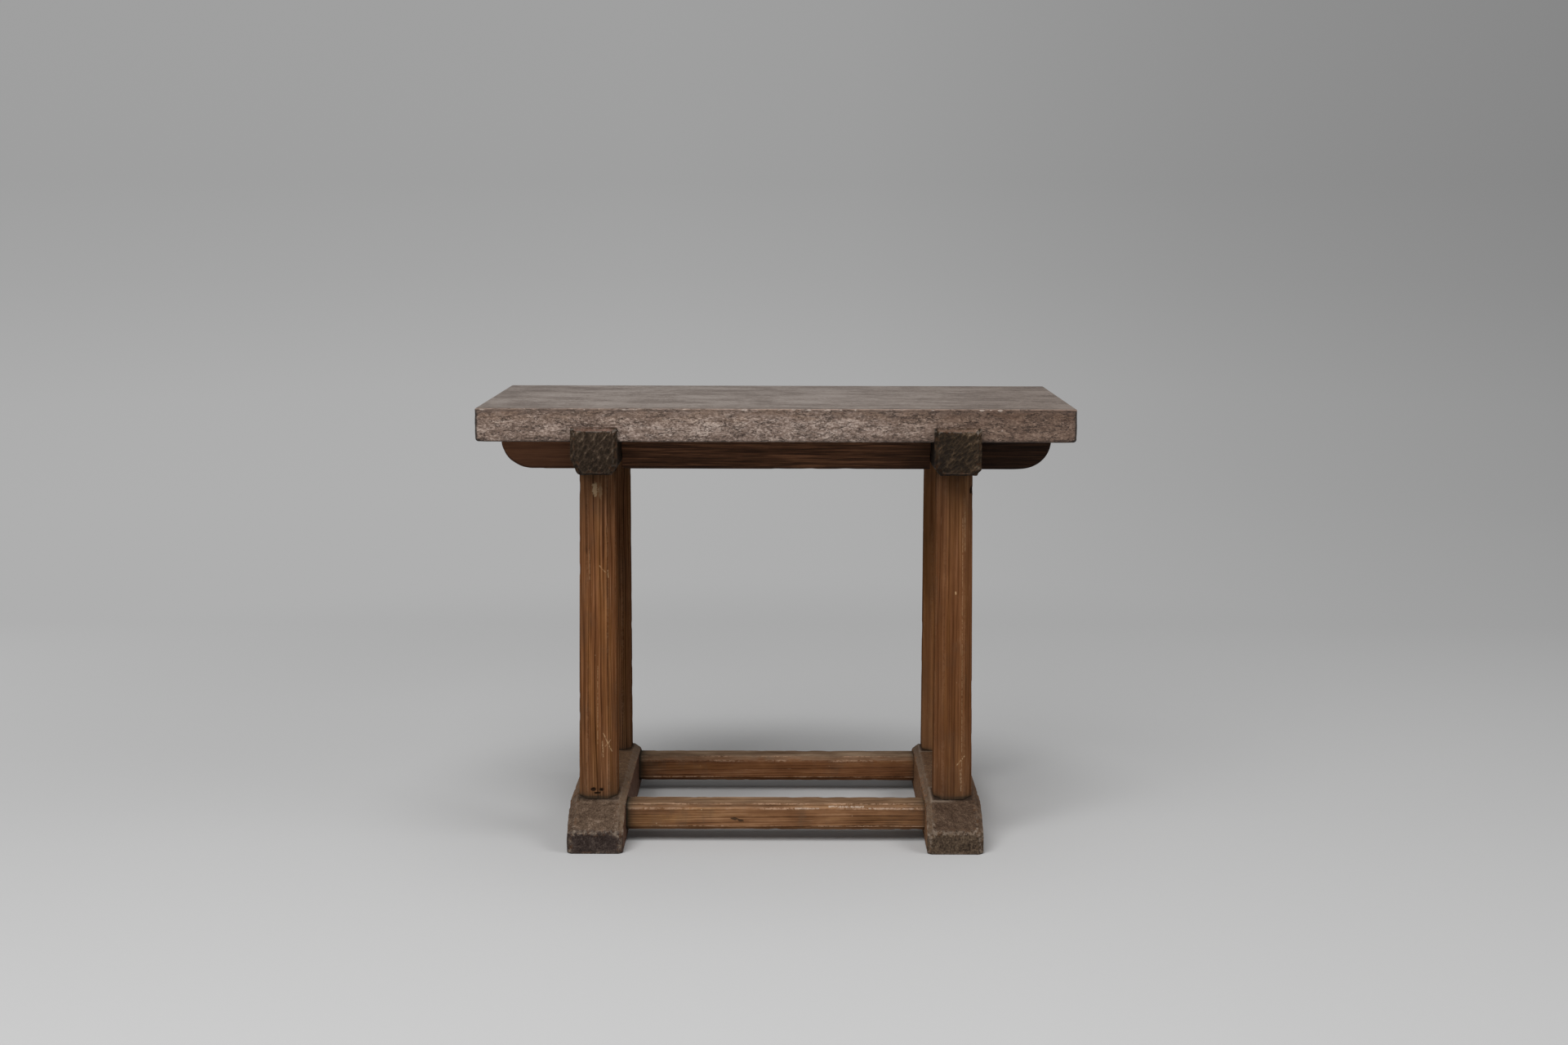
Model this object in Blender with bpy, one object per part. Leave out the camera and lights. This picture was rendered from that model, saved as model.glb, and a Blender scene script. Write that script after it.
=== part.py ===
# A stone-topped trestle table, built up as its maker would: a limestone slab lies on two notched
# cross-beams and two long rails, on four tapered legs wedged into beams above and sledge feet below,
# with two low stretchers between the feet. Metres, +Z up, the origin on the floor under the middle
# of the table, +X along the slab.

import math

import bmesh
import bpy
from mathutils import Vector

# Driving dimensions

OVERALL_HEIGHT = 0.750
SEAT_GAP = 0.0003           # left between pieces that touch

SLAB_LENGTH = 1.003
SLAB_DEPTH = 0.488
SLAB_THICKNESS = 0.056
SLAB_ARRIS = 0.0035

TRESTLE_INSET = 0.1985      # slab end to the middle of a trestle
LEG_INSET = 0.0963          # end of a beam or foot to the middle of its leg

BEAM_WIDTH = 0.080
BEAM_HEIGHT = 0.055         # under the slab, and the rails are flush with it
LUG_THICKNESS = 0.015
LUG_RISE = 0.025            # above the slab's underside
HEAD_CHAMFER = 0.007        # round the end face of a beam
HEAD_TOP_CHAMFER = 0.006
HEAD_BASE_CHAMFER = 0.004
BEAM_CUT_WIDTH = 0.012      # the cut along a beam's lower edges
BEAM_CUT_HEIGHT = 0.020
BEAM_CUT_SOFTENING = 0.016
BEAM_TOP_ARRIS = 0.002

RAIL_THICKNESS = 0.042
RAIL_END_INSET = 0.0325     # slab end to rail end
RAIL_END_RUN = 0.054        # quarter round at each lower end
RAIL_END_LIP = 0.005        # square part above it
RAIL_ARRIS = 0.0015
LAP_SHOULDER = 0.0055       # wood left between a rail's lap and a leg's tenon

LEG_TOP_SIZE = 0.061
LEG_BASE_SIZE = 0.066
LEG_CHAMFER = 0.014
LEG_ARRIS = 0.006

TENON_WIDTH = 0.026
TOP_TENON_LENGTH = 0.026
TOP_TENON_SHOULDER = 0.008  # outer face of the leg to its upper tenon
FOOT_TENON_SHOULDER = 0.012
TENON_RECESS = 0.002        # a tenon's end stops short of the face it comes through

WEDGE_LENGTH = 0.030
WEDGE_HEAD = 0.0045
WEDGE_TIP = 0.0015

FOOT_WIDTH = 0.095
FOOT_HEIGHT = 0.080
FOOT_NOSE_HEIGHT = 0.0375
FOOT_SLOPE_RUN = 0.0745     # nose to where its top turns level, a little way under the leg
FOOT_SLOPE_POWER = 1.45     # 1 is a straight slope, and more is rounder
FOOT_CHAMFER_WIDTH = 0.0105
FOOT_CHAMFER_HEIGHT = 0.008
FOOT_NOSE_CHAMFER = 0.007
FOOT_NOSE_ARRIS = 0.003
FOOT_ARRIS = 0.0025

STRETCHER_THICKNESS = 0.056
STRETCHER_LIFT = 0.021      # floor to its underside
STRETCHER_DROP = 0.0135     # top of the foot down to its top
STRETCHER_TOP_CHAMFER = 0.0073
STRETCHER_LOW_CHAMFER = 0.0064
STRETCHER_ARRIS = 0.0015
STUB_SHOULDER = 0.010       # round a stretcher's stub tenon
STUB_WALL = 0.008           # wood left between a stub tenon and a leg's tenon

PEG_RADIUS = 0.006
PEG_RECESS = 0.001
PEG_STOP = 0.010            # wood left under a peg

# Facets of each rounded form

ARRIS_STEPS = 2
SLAB_ARRIS_STEPS = 3
CUT_STEPS = 4
RAIL_END_STEPS = 10
SLOPE_STEPS = 8
PEG_SIDES = 16
ARC_SHARE = 0.45            # the most of a side that one corner's arc may take
SMOOTH_BELOW = math.radians(24)

# Sizes and places that follow

SLAB_BASE = OVERALL_HEIGHT - SLAB_THICKNESS
BEAM_TOP = SLAB_BASE - SEAT_GAP
BEAM_BASE = BEAM_TOP - BEAM_HEIGHT
LUG_TOP = SLAB_BASE + LUG_RISE
LAP_LEVEL = (BEAM_BASE + BEAM_TOP) / 2
BEAM_LENGTH = SLAB_DEPTH + 2 * (SEAT_GAP + LUG_THICKNESS)

TRESTLE_X = SLAB_LENGTH / 2 - TRESTLE_INSET
LEG_Y = BEAM_LENGTH / 2 - LEG_INSET

LEG_BASE = FOOT_HEIGHT + SEAT_GAP
LEG_TOP = BEAM_BASE - SEAT_GAP
TOP_TENON_Y = LEG_Y + LEG_TOP_SIZE / 2 - TOP_TENON_SHOULDER - TOP_TENON_LENGTH / 2
TOP_TENON_END = BEAM_TOP - TENON_RECESS
FOOT_TENON_LENGTH = LEG_BASE_SIZE - 2 * FOOT_TENON_SHOULDER

RAIL_Y = TOP_TENON_Y - TOP_TENON_LENGTH / 2 - LAP_SHOULDER - RAIL_THICKNESS / 2
RAIL_LENGTH = SLAB_LENGTH - 2 * RAIL_END_INSET

FOOT_LENGTH = BEAM_LENGTH

STRETCHER_TOP = FOOT_HEIGHT - STRETCHER_DROP
STRETCHER_SPAN = 2 * (TRESTLE_X - FOOT_WIDTH / 2 - SEAT_GAP)
STUB_LENGTH = FOOT_WIDTH / 2 - TENON_WIDTH / 2 - STUB_WALL
STUB_SPAN = STRETCHER_SPAN + 2 * STUB_LENGTH

OVERRUN = 0.020             # how far a cutter runs past what it cuts


def empty_scene():
    for thing in list(bpy.data.objects):
        bpy.data.objects.remove(thing, do_unlink=True)


def finish_material(name, colour, roughness):
    finish = bpy.data.materials.new(name)
    finish.use_nodes = True
    shader = finish.node_tree.nodes["Principled BSDF"]
    shader.inputs["Base Color"].default_value = (*colour, 1.0)
    shader.inputs["Roughness"].default_value = roughness
    shader.inputs["Metallic"].default_value = 0.0
    finish.diffuse_color = (*colour, 1.0)
    return finish


# Shapes

def softened(corners, radii, steps):
    # A convex outline with each corner turned into an arc, no longer than its sides allow
    outline = []
    count = len(corners)
    for index, corner in enumerate(corners):
        before = corners[index - 1] - corner
        after = corners[(index + 1) % count] - corner
        half = before.angle(after) / 2
        shorter = min(before.length, after.length)
        before.normalize()
        after.normalize()
        reach = min(radii[index] / math.tan(half), ARC_SHARE * shorter)
        centre = corner + (before + after).normalized() * reach / math.cos(half)
        first = corner + before * reach - centre
        last = corner + after * reach - centre
        sweep = math.pi - 2 * half
        for step in range(steps + 1):
            share = step / steps
            spoke = first * math.sin((1 - share) * sweep) + last * math.sin(share * sweep)
            outline.append(centre + spoke / math.sin(sweep))
    return outline


def loft(name, rings):
    # A closed skin through rings that have the same number of points
    shape = bmesh.new()
    loops = [[shape.verts.new(point) for point in ring] for ring in rings]
    for near, far in zip(loops, loops[1:]):
        for index in range(len(near)):
            after = (index + 1) % len(near)
            shape.faces.new((near[index], near[after], far[after], far[index]))
    shape.faces.new(loops[0])
    shape.faces.new(list(reversed(loops[-1])))
    bmesh.ops.recalc_face_normals(shape, faces=shape.faces)
    mesh = bpy.data.meshes.new(name)
    shape.to_mesh(mesh)
    shape.free()
    return mesh


def oblong(low, high, z):
    return [(low[0], low[1], z), (high[0], low[1], z), (high[0], high[1], z), (low[0], high[1], z)]


def box(name, low, high):
    return loft(name, [oblong(low, high, low[2]), oblong(low, high, high[2])])


def upright_cylinder(name, radius, base, top):
    rings = []
    for z in (base, top):
        turns = [2 * math.pi * (side + 0.5) / PEG_SIDES for side in range(PEG_SIDES)]
        rings.append([(radius * math.cos(turn), radius * math.sin(turn), z) for turn in turns])
    return loft(name, rings)


def place(name, mesh, location, finish):
    piece = bpy.data.objects.new(name, mesh)
    piece.location = location
    if finish not in list(mesh.materials):
        mesh.materials.append(finish)
    mesh.shade_smooth()
    mesh.set_sharp_from_angle(angle=SMOOTH_BELOW)
    bpy.context.scene.collection.objects.link(piece)
    return piece


def shape_with(piece, mesh, operation, offset=(0, 0, 0)):
    # Joins a hidden helper to the piece, or cuts it away, at an offset from the piece's own origin
    helper = bpy.data.objects.new(f"{piece.name}.{mesh.name}", mesh)
    helper.location = piece.location + Vector(offset)
    helper.hide_render = True
    helper.display_type = "WIRE"
    bpy.context.scene.collection.objects.link(helper)
    step = piece.modifiers.new(mesh.name, "BOOLEAN")
    step.object = helper
    step.operation = operation
    step.solver = "EXACT"


# Slab

def make_slab(finish):
    x, y = SLAB_LENGTH / 2, SLAB_DEPTH / 2
    mesh = box("stone_top", (-x, -y, SLAB_BASE), (x, y, OVERALL_HEIGHT))
    slab = place("stone_top", mesh, (0, 0, 0), finish)
    arris = slab.modifiers.new("eased_edges", "BEVEL")
    arris.width = SLAB_ARRIS
    arris.segments = SLAB_ARRIS_STEPS
    arris.limit_method = "ANGLE"


# Cross-beams

def beam_ring(y, side_inset, top_inset, base_inset):
    half = BEAM_WIDTH / 2 - side_inset
    base, top = BEAM_BASE + base_inset, LUG_TOP - top_inset
    cut_foot = half - BEAM_CUT_WIDTH
    right = [(cut_foot, base), (half, base + BEAM_CUT_HEIGHT), (half, top)]
    left = [(-x, z) for x, z in reversed(right)]
    radii = [BEAM_CUT_SOFTENING, BEAM_CUT_SOFTENING, BEAM_TOP_ARRIS]
    corners = [Vector(corner) for corner in right + left]
    outline = softened(corners, radii + radii[::-1], CUT_STEPS)
    return [(x, y, z) for x, z in outline]


def make_beam(name, x, finish):
    end = BEAM_LENGTH / 2
    full = (0, 0, 0)
    cut_back = (HEAD_CHAMFER, HEAD_TOP_CHAMFER, HEAD_BASE_CHAMFER)
    shoulder = end - HEAD_CHAMFER
    stations = [(-end, cut_back), (-shoulder, full), (shoulder, full), (end, cut_back)]
    rings = [beam_ring(y, *inset) for y, inset in stations]
    beam = place(name, loft(name, rings), (x, 0, 0), finish)

    wide, above = BEAM_WIDTH / 2 + OVERRUN, LUG_TOP + OVERRUN
    bay = SLAB_DEPTH / 2 + SEAT_GAP
    shape_with(beam, box("slab_bay", (-wide, -bay, BEAM_TOP), (wide, bay, above)), "DIFFERENCE")

    lap = RAIL_THICKNESS / 2 + SEAT_GAP
    lap_cutter = box("rail_lap", (-wide, -lap, LAP_LEVEL), (wide, lap, above))
    tenon_x, tenon_y = TENON_WIDTH / 2 + SEAT_GAP, TOP_TENON_LENGTH / 2 + SEAT_GAP
    below = BEAM_BASE - OVERRUN
    mortise_cutter = box("leg_mortise", (-tenon_x, -tenon_y, below), (tenon_x, tenon_y, above))
    peg_cutter = upright_cylinder("peg_hole", PEG_RADIUS + SEAT_GAP, BEAM_BASE + PEG_STOP - SEAT_GAP, above)
    for side in (-1, 1):
        shape_with(beam, lap_cutter, "DIFFERENCE", (0, side * RAIL_Y, 0))
        shape_with(beam, mortise_cutter, "DIFFERENCE", (0, side * TOP_TENON_Y, 0))
        shape_with(beam, peg_cutter, "DIFFERENCE", (0, side * RAIL_Y, 0))


# Top rails

def rail_ring(y, inset):
    half, top, base = RAIL_LENGTH / 2 - inset, BEAM_TOP - inset, BEAM_BASE + inset
    spring = BEAM_TOP - RAIL_END_LIP
    right = []
    for step in range(RAIL_END_STEPS + 1):
        turn = math.pi / 2 * (1 - step / RAIL_END_STEPS)
        x = half - RAIL_END_RUN + RAIL_END_RUN * math.cos(turn)
        right.append((x, y, spring - (spring - base) * math.sin(turn)))
    right.append((half, y, top))
    return right + [(-x, y, z) for x, y, z in reversed(right)]


def make_rail(name, y, finish):
    face = RAIL_THICKNESS / 2
    stations = [(-face, RAIL_ARRIS), (RAIL_ARRIS - face, 0), (face - RAIL_ARRIS, 0), (face, RAIL_ARRIS)]
    rings = [rail_ring(offset, inset) for offset, inset in stations]
    rail = place(name, loft(name, rings), (0, y, 0), finish)

    half, thick = BEAM_WIDTH / 2 + SEAT_GAP, face + OVERRUN
    lap_level = LAP_LEVEL + SEAT_GAP
    lap_cutter = box("beam_lap", (-half, -thick, BEAM_BASE - OVERRUN), (half, thick, lap_level))
    peg_cutter = upright_cylinder("peg_hole", PEG_RADIUS + SEAT_GAP, BEAM_BASE, BEAM_TOP + OVERRUN)
    for side in (-1, 1):
        shape_with(rail, lap_cutter, "DIFFERENCE", (side * TRESTLE_X, 0, 0))
        shape_with(rail, peg_cutter, "DIFFERENCE", (side * TRESTLE_X, 0, 0))


# Legs

def leg_ring(z, size):
    half, flat = size / 2, size / 2 - LEG_CHAMFER
    corners = [(half, -flat), (half, flat), (flat, half), (-flat, half)]
    corners += [(-x, -y) for x, y in corners]
    outline = softened([Vector(corner) for corner in corners], [LEG_ARRIS] * len(corners), ARRIS_STEPS)
    return [(x, y, z) for x, y in outline]


def wedge_ring(width, thickness, level):
    return oblong((-width / 2, -thickness / 2), (width / 2, thickness / 2), level)


def wedge_mesh(name, end, inward):
    # Its head is flush with the tenon's end, and inward is +1 or -1, up or down into the tenon
    tip = end + inward * WEDGE_LENGTH
    return loft(name, [wedge_ring(TENON_WIDTH, WEDGE_HEAD, end), wedge_ring(TENON_WIDTH, WEDGE_TIP, tip)])


def kerf_mesh(name, end, inward):
    # The sawn slot that the wedge spreads, open at the tenon's end and at both its sides
    width = TENON_WIDTH + 2 * OVERRUN
    mouth, tip = WEDGE_HEAD + 2 * SEAT_GAP, WEDGE_TIP + 2 * SEAT_GAP
    outside, depth = end - inward * OVERRUN, end + inward * (WEDGE_LENGTH + SEAT_GAP)
    levels = [(mouth, outside), (mouth, end), (tip, depth)]
    return loft(name, [wedge_ring(width, thickness, level) for thickness, level in levels])


def make_leg(corner, x, side, finish, wedge_finish):
    name = f"leg_{corner}"
    stations = [(FOOT_NOSE_HEIGHT, LEG_BASE_SIZE), (LEG_BASE, LEG_BASE_SIZE), (LEG_TOP, LEG_TOP_SIZE)]
    rings = [leg_ring(*station) for station in stations]
    leg = place(name, loft(name, rings), (x, side * LEG_Y, 0), finish)
    # Its shoulder is scribed to the foot, which already slopes away under its outer face
    shape_with(leg, loft("foot_below", foot_rings()), "DIFFERENCE", (0, -side * LEG_Y, SEAT_GAP))

    half, middle = TENON_WIDTH / 2, (LEG_BASE + LEG_TOP) / 2
    top_reach, foot_reach = TOP_TENON_LENGTH / 2, FOOT_TENON_LENGTH / 2
    top_offset = (0, side * (TOP_TENON_Y - LEG_Y), 0)
    top_tenon = box("top_tenon", (-half, -top_reach, middle), (half, top_reach, TOP_TENON_END))
    foot_tenon = box("foot_tenon", (-half, -foot_reach, TENON_RECESS), (half, foot_reach, middle))
    shape_with(leg, top_tenon, "UNION", top_offset)
    shape_with(leg, foot_tenon, "UNION")
    shape_with(leg, kerf_mesh("top_kerf", TOP_TENON_END, -1), "DIFFERENCE", top_offset)
    shape_with(leg, kerf_mesh("foot_kerf", TENON_RECESS, 1), "DIFFERENCE")

    top_wedge = wedge_mesh("beam_wedge", TOP_TENON_END, -1)
    foot_wedge = wedge_mesh("foot_wedge", TENON_RECESS, 1)
    place(f"beam_wedge_{corner}", top_wedge, (x, side * TOP_TENON_Y, 0), wedge_finish)
    place(f"foot_wedge_{corner}", foot_wedge, (x, side * LEG_Y, 0), wedge_finish)


# Feet

def slope_height(distance):
    # Height of a foot's top at a distance from its nose
    share = min(distance / FOOT_SLOPE_RUN, 1)
    rise = FOOT_HEIGHT - FOOT_NOSE_HEIGHT
    height = FOOT_NOSE_HEIGHT + rise * (1 - (1 - share) ** FOOT_SLOPE_POWER)
    return height - max(FOOT_NOSE_ARRIS - distance, 0)


def foot_ring(y, distance):
    half = FOOT_WIDTH / 2 - max(FOOT_NOSE_CHAMFER - distance, 0)
    height = slope_height(distance)
    right = [(half, 0), (half, height - FOOT_CHAMFER_HEIGHT), (half - FOOT_CHAMFER_WIDTH, height)]
    corners = [Vector(corner) for corner in right + [(-x, z) for x, z in reversed(right)]]
    outline = softened(corners, [FOOT_ARRIS] * len(corners), ARRIS_STEPS)
    return [(x, y, z) for x, z in outline]


def foot_rings():
    slope = FOOT_SLOPE_RUN - FOOT_NOSE_CHAMFER
    distances = [0, FOOT_NOSE_ARRIS]
    distances += [FOOT_NOSE_CHAMFER + slope * step / SLOPE_STEPS for step in range(SLOPE_STEPS + 1)]
    rings = [foot_ring(distance - FOOT_LENGTH / 2, distance) for distance in distances]
    rings += [foot_ring(FOOT_LENGTH / 2 - distance, distance) for distance in reversed(distances)]
    return rings


def make_foot(name, x, finish):
    foot = place(name, loft(name, foot_rings()), (x, 0, 0), finish)

    tenon_x, tenon_y = TENON_WIDTH / 2 + SEAT_GAP, FOOT_TENON_LENGTH / 2 + SEAT_GAP
    above = FOOT_HEIGHT + OVERRUN
    mortise_cutter = box("leg_mortise", (-tenon_x, -tenon_y, -OVERRUN), (tenon_x, tenon_y, above))
    inner = -1 if x > 0 else 1
    stub_y = STRETCHER_THICKNESS / 2 - STUB_SHOULDER + SEAT_GAP
    stub_base = STRETCHER_LIFT + STUB_SHOULDER - SEAT_GAP
    stub_top = STRETCHER_TOP - STUB_SHOULDER + SEAT_GAP
    depth = FOOT_WIDTH / 2 - STUB_LENGTH - SEAT_GAP
    near, far = sorted((inner * depth, inner * (FOOT_WIDTH / 2 + OVERRUN)))
    stub_cutter = box("stub_mortise", (near, -stub_y, stub_base), (far, stub_y, stub_top))
    for side in (-1, 1):
        shape_with(foot, mortise_cutter, "DIFFERENCE", (0, side * LEG_Y, 0))
        shape_with(foot, stub_cutter, "DIFFERENCE", (0, side * LEG_Y, 0))


# Stretchers

def stretcher_ring(x):
    half = STRETCHER_THICKNESS / 2
    top, low = STRETCHER_TOP_CHAMFER, STRETCHER_LOW_CHAMFER
    front = [(half - low, STRETCHER_LIFT), (half, STRETCHER_LIFT + low)]
    front += [(half, STRETCHER_TOP - top), (half - top, STRETCHER_TOP)]
    corners = [Vector(corner) for corner in front + [(-y, z) for y, z in reversed(front)]]
    outline = softened(corners, [STRETCHER_ARRIS] * len(corners), ARRIS_STEPS)
    return [(x, y, z) for y, z in outline]


def make_stretcher(name, y, finish):
    rings = [stretcher_ring(-STRETCHER_SPAN / 2), stretcher_ring(STRETCHER_SPAN / 2)]
    stretcher = place(name, loft(name, rings), (0, y, 0), finish)
    half_stub, half_thick = STUB_SPAN / 2, STRETCHER_THICKNESS / 2 - STUB_SHOULDER
    stub_base, stub_top = STRETCHER_LIFT + STUB_SHOULDER, STRETCHER_TOP - STUB_SHOULDER
    stubs = box("stub_tenons", (-half_stub, -half_thick, stub_base), (half_stub, half_thick, stub_top))
    shape_with(stretcher, stubs, "UNION")


# Pegs

def make_pegs(finish):
    mesh = upright_cylinder("lap_peg", PEG_RADIUS, BEAM_BASE + PEG_STOP, BEAM_TOP - PEG_RECESS)
    for y, row in ((-RAIL_Y, "front"), (RAIL_Y, "back")):
        for x, column in ((-TRESTLE_X, "left"), (TRESTLE_X, "right")):
            place(f"lap_peg_{row}_{column}", mesh, (x, y, 0), finish)


def make_table():
    limestone = finish_material("limestone", (0.190, 0.145, 0.125), 0.55)
    carved_wood = finish_material("carved_dark_wood", (0.048, 0.036, 0.027), 0.60)
    rail_wood = finish_material("dark_stained_pine", (0.040, 0.020, 0.012), 0.55)
    leg_wood = finish_material("stained_pine", (0.130, 0.058, 0.025), 0.50)
    small_wood = finish_material("bare_hardwood", (0.320, 0.200, 0.105), 0.65)

    make_slab(limestone)
    for x, column in ((-TRESTLE_X, "left"), (TRESTLE_X, "right")):
        make_beam(f"cross_beam_{column}", x, carved_wood)
        make_foot(f"foot_{column}", x, carved_wood)
        for side, row in ((-1, "front"), (1, "back")):
            make_leg(f"{row}_{column}", x, side, leg_wood, small_wood)
    for side, row in ((-1, "front"), (1, "back")):
        make_rail(f"top_rail_{row}", side * RAIL_Y, rail_wood)
        make_stretcher(f"stretcher_{row}", side * LEG_Y, leg_wood)
    make_pegs(small_wood)


empty_scene()
make_table()
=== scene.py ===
import itertools
import math

import bmesh
import bpy
import numpy as np
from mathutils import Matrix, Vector


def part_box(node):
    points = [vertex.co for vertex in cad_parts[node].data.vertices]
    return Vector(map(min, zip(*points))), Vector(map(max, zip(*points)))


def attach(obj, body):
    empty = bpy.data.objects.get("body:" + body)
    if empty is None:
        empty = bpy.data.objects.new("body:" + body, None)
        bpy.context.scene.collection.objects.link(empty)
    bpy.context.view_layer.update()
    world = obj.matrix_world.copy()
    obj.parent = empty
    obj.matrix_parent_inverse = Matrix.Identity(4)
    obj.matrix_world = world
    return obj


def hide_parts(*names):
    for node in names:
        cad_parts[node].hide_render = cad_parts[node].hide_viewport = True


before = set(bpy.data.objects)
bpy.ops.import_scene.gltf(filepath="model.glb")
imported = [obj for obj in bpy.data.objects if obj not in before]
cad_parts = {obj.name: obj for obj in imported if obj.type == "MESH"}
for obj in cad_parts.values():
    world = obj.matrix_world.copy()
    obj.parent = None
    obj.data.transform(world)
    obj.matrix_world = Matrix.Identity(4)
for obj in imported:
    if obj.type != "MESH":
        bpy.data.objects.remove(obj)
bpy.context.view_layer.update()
print("frame loaded with", len(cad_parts), "nodes")


# Repeatable noise, worked out for whole arrays of points

def cellNumber(cells, seed):
    # a number from 0 to 1 for each cell, scattered but always the same
    mixed = seed * 1442695
    for axis, factor in enumerate((374761393, 668265263, 1013904223)):
        mixed = mixed + cells[..., axis] * factor
    mixed = ((mixed ^ (mixed >> 13)) * 1274126177) & 0xFFFFFFFF
    return ((mixed ^ (mixed >> 16)) & 0xFFFF) / 65535


def softNoise(points, sizes, seed):
    # from -1 to 1, with lumps of the given size along X, Y and Z
    spot = points / np.array(sizes)
    cell = np.floor(spot).astype(np.int64)
    share = spot - cell
    share = share * share * (3 - 2 * share)
    total = np.zeros(len(points))
    for corner in itertools.product((0, 1), repeat=3):
        weight = np.where(corner, share, 1 - share).prod(axis=1)
        total += weight * cellNumber(cell + np.array(corner), seed)
    return total * 2 - 1


def layered(points, layers):
    # a sum of soft noises, each given by its lumps, its seed and its share
    return sum(softNoise(points, sizes, seed) * share for sizes, seed, share in layers)


def gougeCuts(points, angle, sizes, seed):
    # 0 in the bed of each cut and about 1 on the ridge between two. The cuts lie at an angle to X
    cos, sin = math.cos(angle), math.sin(angle)
    turn = np.array([[cos, 0, -sin], [0, 1, 0], [sin, 0, cos]])
    spot = (points @ turn) / np.array(sizes)
    cell = np.floor(spot).astype(np.int64)
    nearest = np.full(len(points), 9.0)
    for step in itertools.product((-1, 0, 1), repeat=3):
        other = cell + np.array(step)
        centre = other + np.stack([cellNumber(other, seed + axis) for axis in range(3)], axis=1)
        nearest = np.minimum(nearest, ((spot - centre) ** 2).sum(axis=1))
    return np.clip(nearest, 0, 1)


def easedStep(values, low, high):
    share = np.clip((values - low) / (high - low), 0, 1)
    return share * share * (3 - 2 * share)


def fading(distances, reach):
    # 1 at no distance on either side, and fading over the reach
    return np.exp(-np.abs(distances) / reach)


def toNearer(values, low, high):
    return np.minimum(values - low, high - values)


def boxOf(node):
    return (np.array(corner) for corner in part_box(node))


# Meshes as rings of points

def roundedOutline(corners, radii, sideSteps, arcSteps=3, fade=0.004):
    # a closed outline with its corners rounded, and how near each point is to an arris, where 1 is on it
    count = len(corners)
    arcs = []
    for index in range(count):
        corner = Vector(corners[index])
        before = Vector(corners[index - 1]) - corner
        after = Vector(corners[(index + 1) % count]) - corner
        half = before.angle(after) / 2
        reach = min(radii[index] / math.tan(half), 0.45 * min(before.length, after.length))
        before.normalize()
        after.normalize()
        centre = corner + (before + after).normalized() * reach / math.cos(half)
        first = corner + before * reach - centre
        last = corner + after * reach - centre
        sweep = math.pi - 2 * half
        arc = []
        for share in np.linspace(0, 1, arcSteps + 1):
            spoke = first * math.sin((1 - share) * sweep) + last * math.sin(share * sweep)
            arc.append(centre + spoke / math.sin(sweep))
        arcs.append(arc)
    points, arris = [], []
    for index, arc in enumerate(arcs):
        points += arc
        arris += [1.0] * len(arc)
        start, end = arc[-1], arcs[(index + 1) % count][0]
        for step in range(1, sideSteps[index]):
            share = step / sideSteps[index]
            points.append(start.lerp(end, share))
            arris.append(math.exp(-min(share, 1 - share) * (end - start).length / fade))
    return np.array(points), np.array(arris)


def endRings(ring, steps, fade, smallest=0.04):
    # rings that grow from the middle of an end face towards its outline
    middle = (ring.min(axis=0) + ring.max(axis=0)) / 2
    reach = np.linalg.norm(ring - middle, axis=1)
    shares = np.linspace(smallest, 1, steps, endpoint=False)
    return [(middle + (ring - middle) * share, fading((1 - share) * reach, fade)) for share in shares]


def ringAtX(outline, x):
    return np.column_stack([np.full(len(outline), x), outline])


def ringAtY(outline, x, y):
    # an outline in X and Z, with its middle moved to x
    return np.column_stack([outline[:, 0] + x, np.full(len(outline), y), outline[:, 1]])


def skin(name, body, endSteps, endFade=0.004):
    # a mesh through rings that have the same number of points, each with its arris values, and closed by more
    # rings at both ends
    opening, closing = (endRings(ring, endSteps, endFade) for ring in (body[0][0], body[-1][0]))
    rings, arrises = (np.array(part) for part in zip(*opening, *body, *closing[::-1]))
    count, around = rings.shape[:2]
    start = np.arange(count - 1)[:, None] * around
    here = np.arange(around)[None, :]
    beside = (here + 1) % around
    quads = [start + here, start + beside, start + around + beside, start + around + here]
    faces = np.stack(quads, axis=-1).reshape(-1, 4).tolist()
    faces.append(list(range(around)))
    faces.append(list(range(count * around - 1, (count - 1) * around - 1, -1)))
    mesh = bpy.data.meshes.new(name)
    mesh.from_pydata(rings.reshape(-1, 3).tolist(), [], faces)
    turnOutward(mesh)
    mark(mesh, "arris", arrises.ravel())
    return mesh


def blockSkin(name, stops):
    # the six faces of a block, divided at the given stops along each axis
    shape = [len(stop) for stop in stops]
    grid = np.stack(np.meshgrid(*stops, indexing="ij"), axis=-1)
    outside = np.zeros(shape, bool)
    outside[[0, -1]] = True
    outside[:, [0, -1]] = True
    outside[:, :, [0, -1]] = True
    index = np.full(shape, -1)
    index[outside] = np.arange(outside.sum())
    faces = []
    for axis, end in itertools.product(range(3), (0, -1)):
        sheet = np.take(index, end, axis=axis)
        quads = [sheet[:-1, :-1], sheet[1:, :-1], sheet[1:, 1:], sheet[:-1, 1:]]
        faces += np.stack(quads, axis=-1).reshape(-1, 4).tolist()
    mesh = bpy.data.meshes.new(name)
    mesh.from_pydata(grid[outside].tolist(), [], faces)
    turnOutward(mesh)
    return mesh


def turnOutward(mesh):
    work = bmesh.new()
    work.from_mesh(mesh)
    bmesh.ops.recalc_face_normals(work, faces=work.faces)
    work.to_mesh(mesh)
    work.free()


def mark(mesh, name, values):
    # a number at each point, which the finishes read
    layer = mesh.attributes.get(name) or mesh.attributes.new(name, "FLOAT", "POINT")
    layer.data.foreach_set("value", np.asarray(values, dtype=np.float32))


def marked(mesh, name):
    values = np.empty(len(mesh.vertices), np.float32)
    mesh.attributes[name].data.foreach_get("value", values)
    return values.astype(float)


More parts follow.
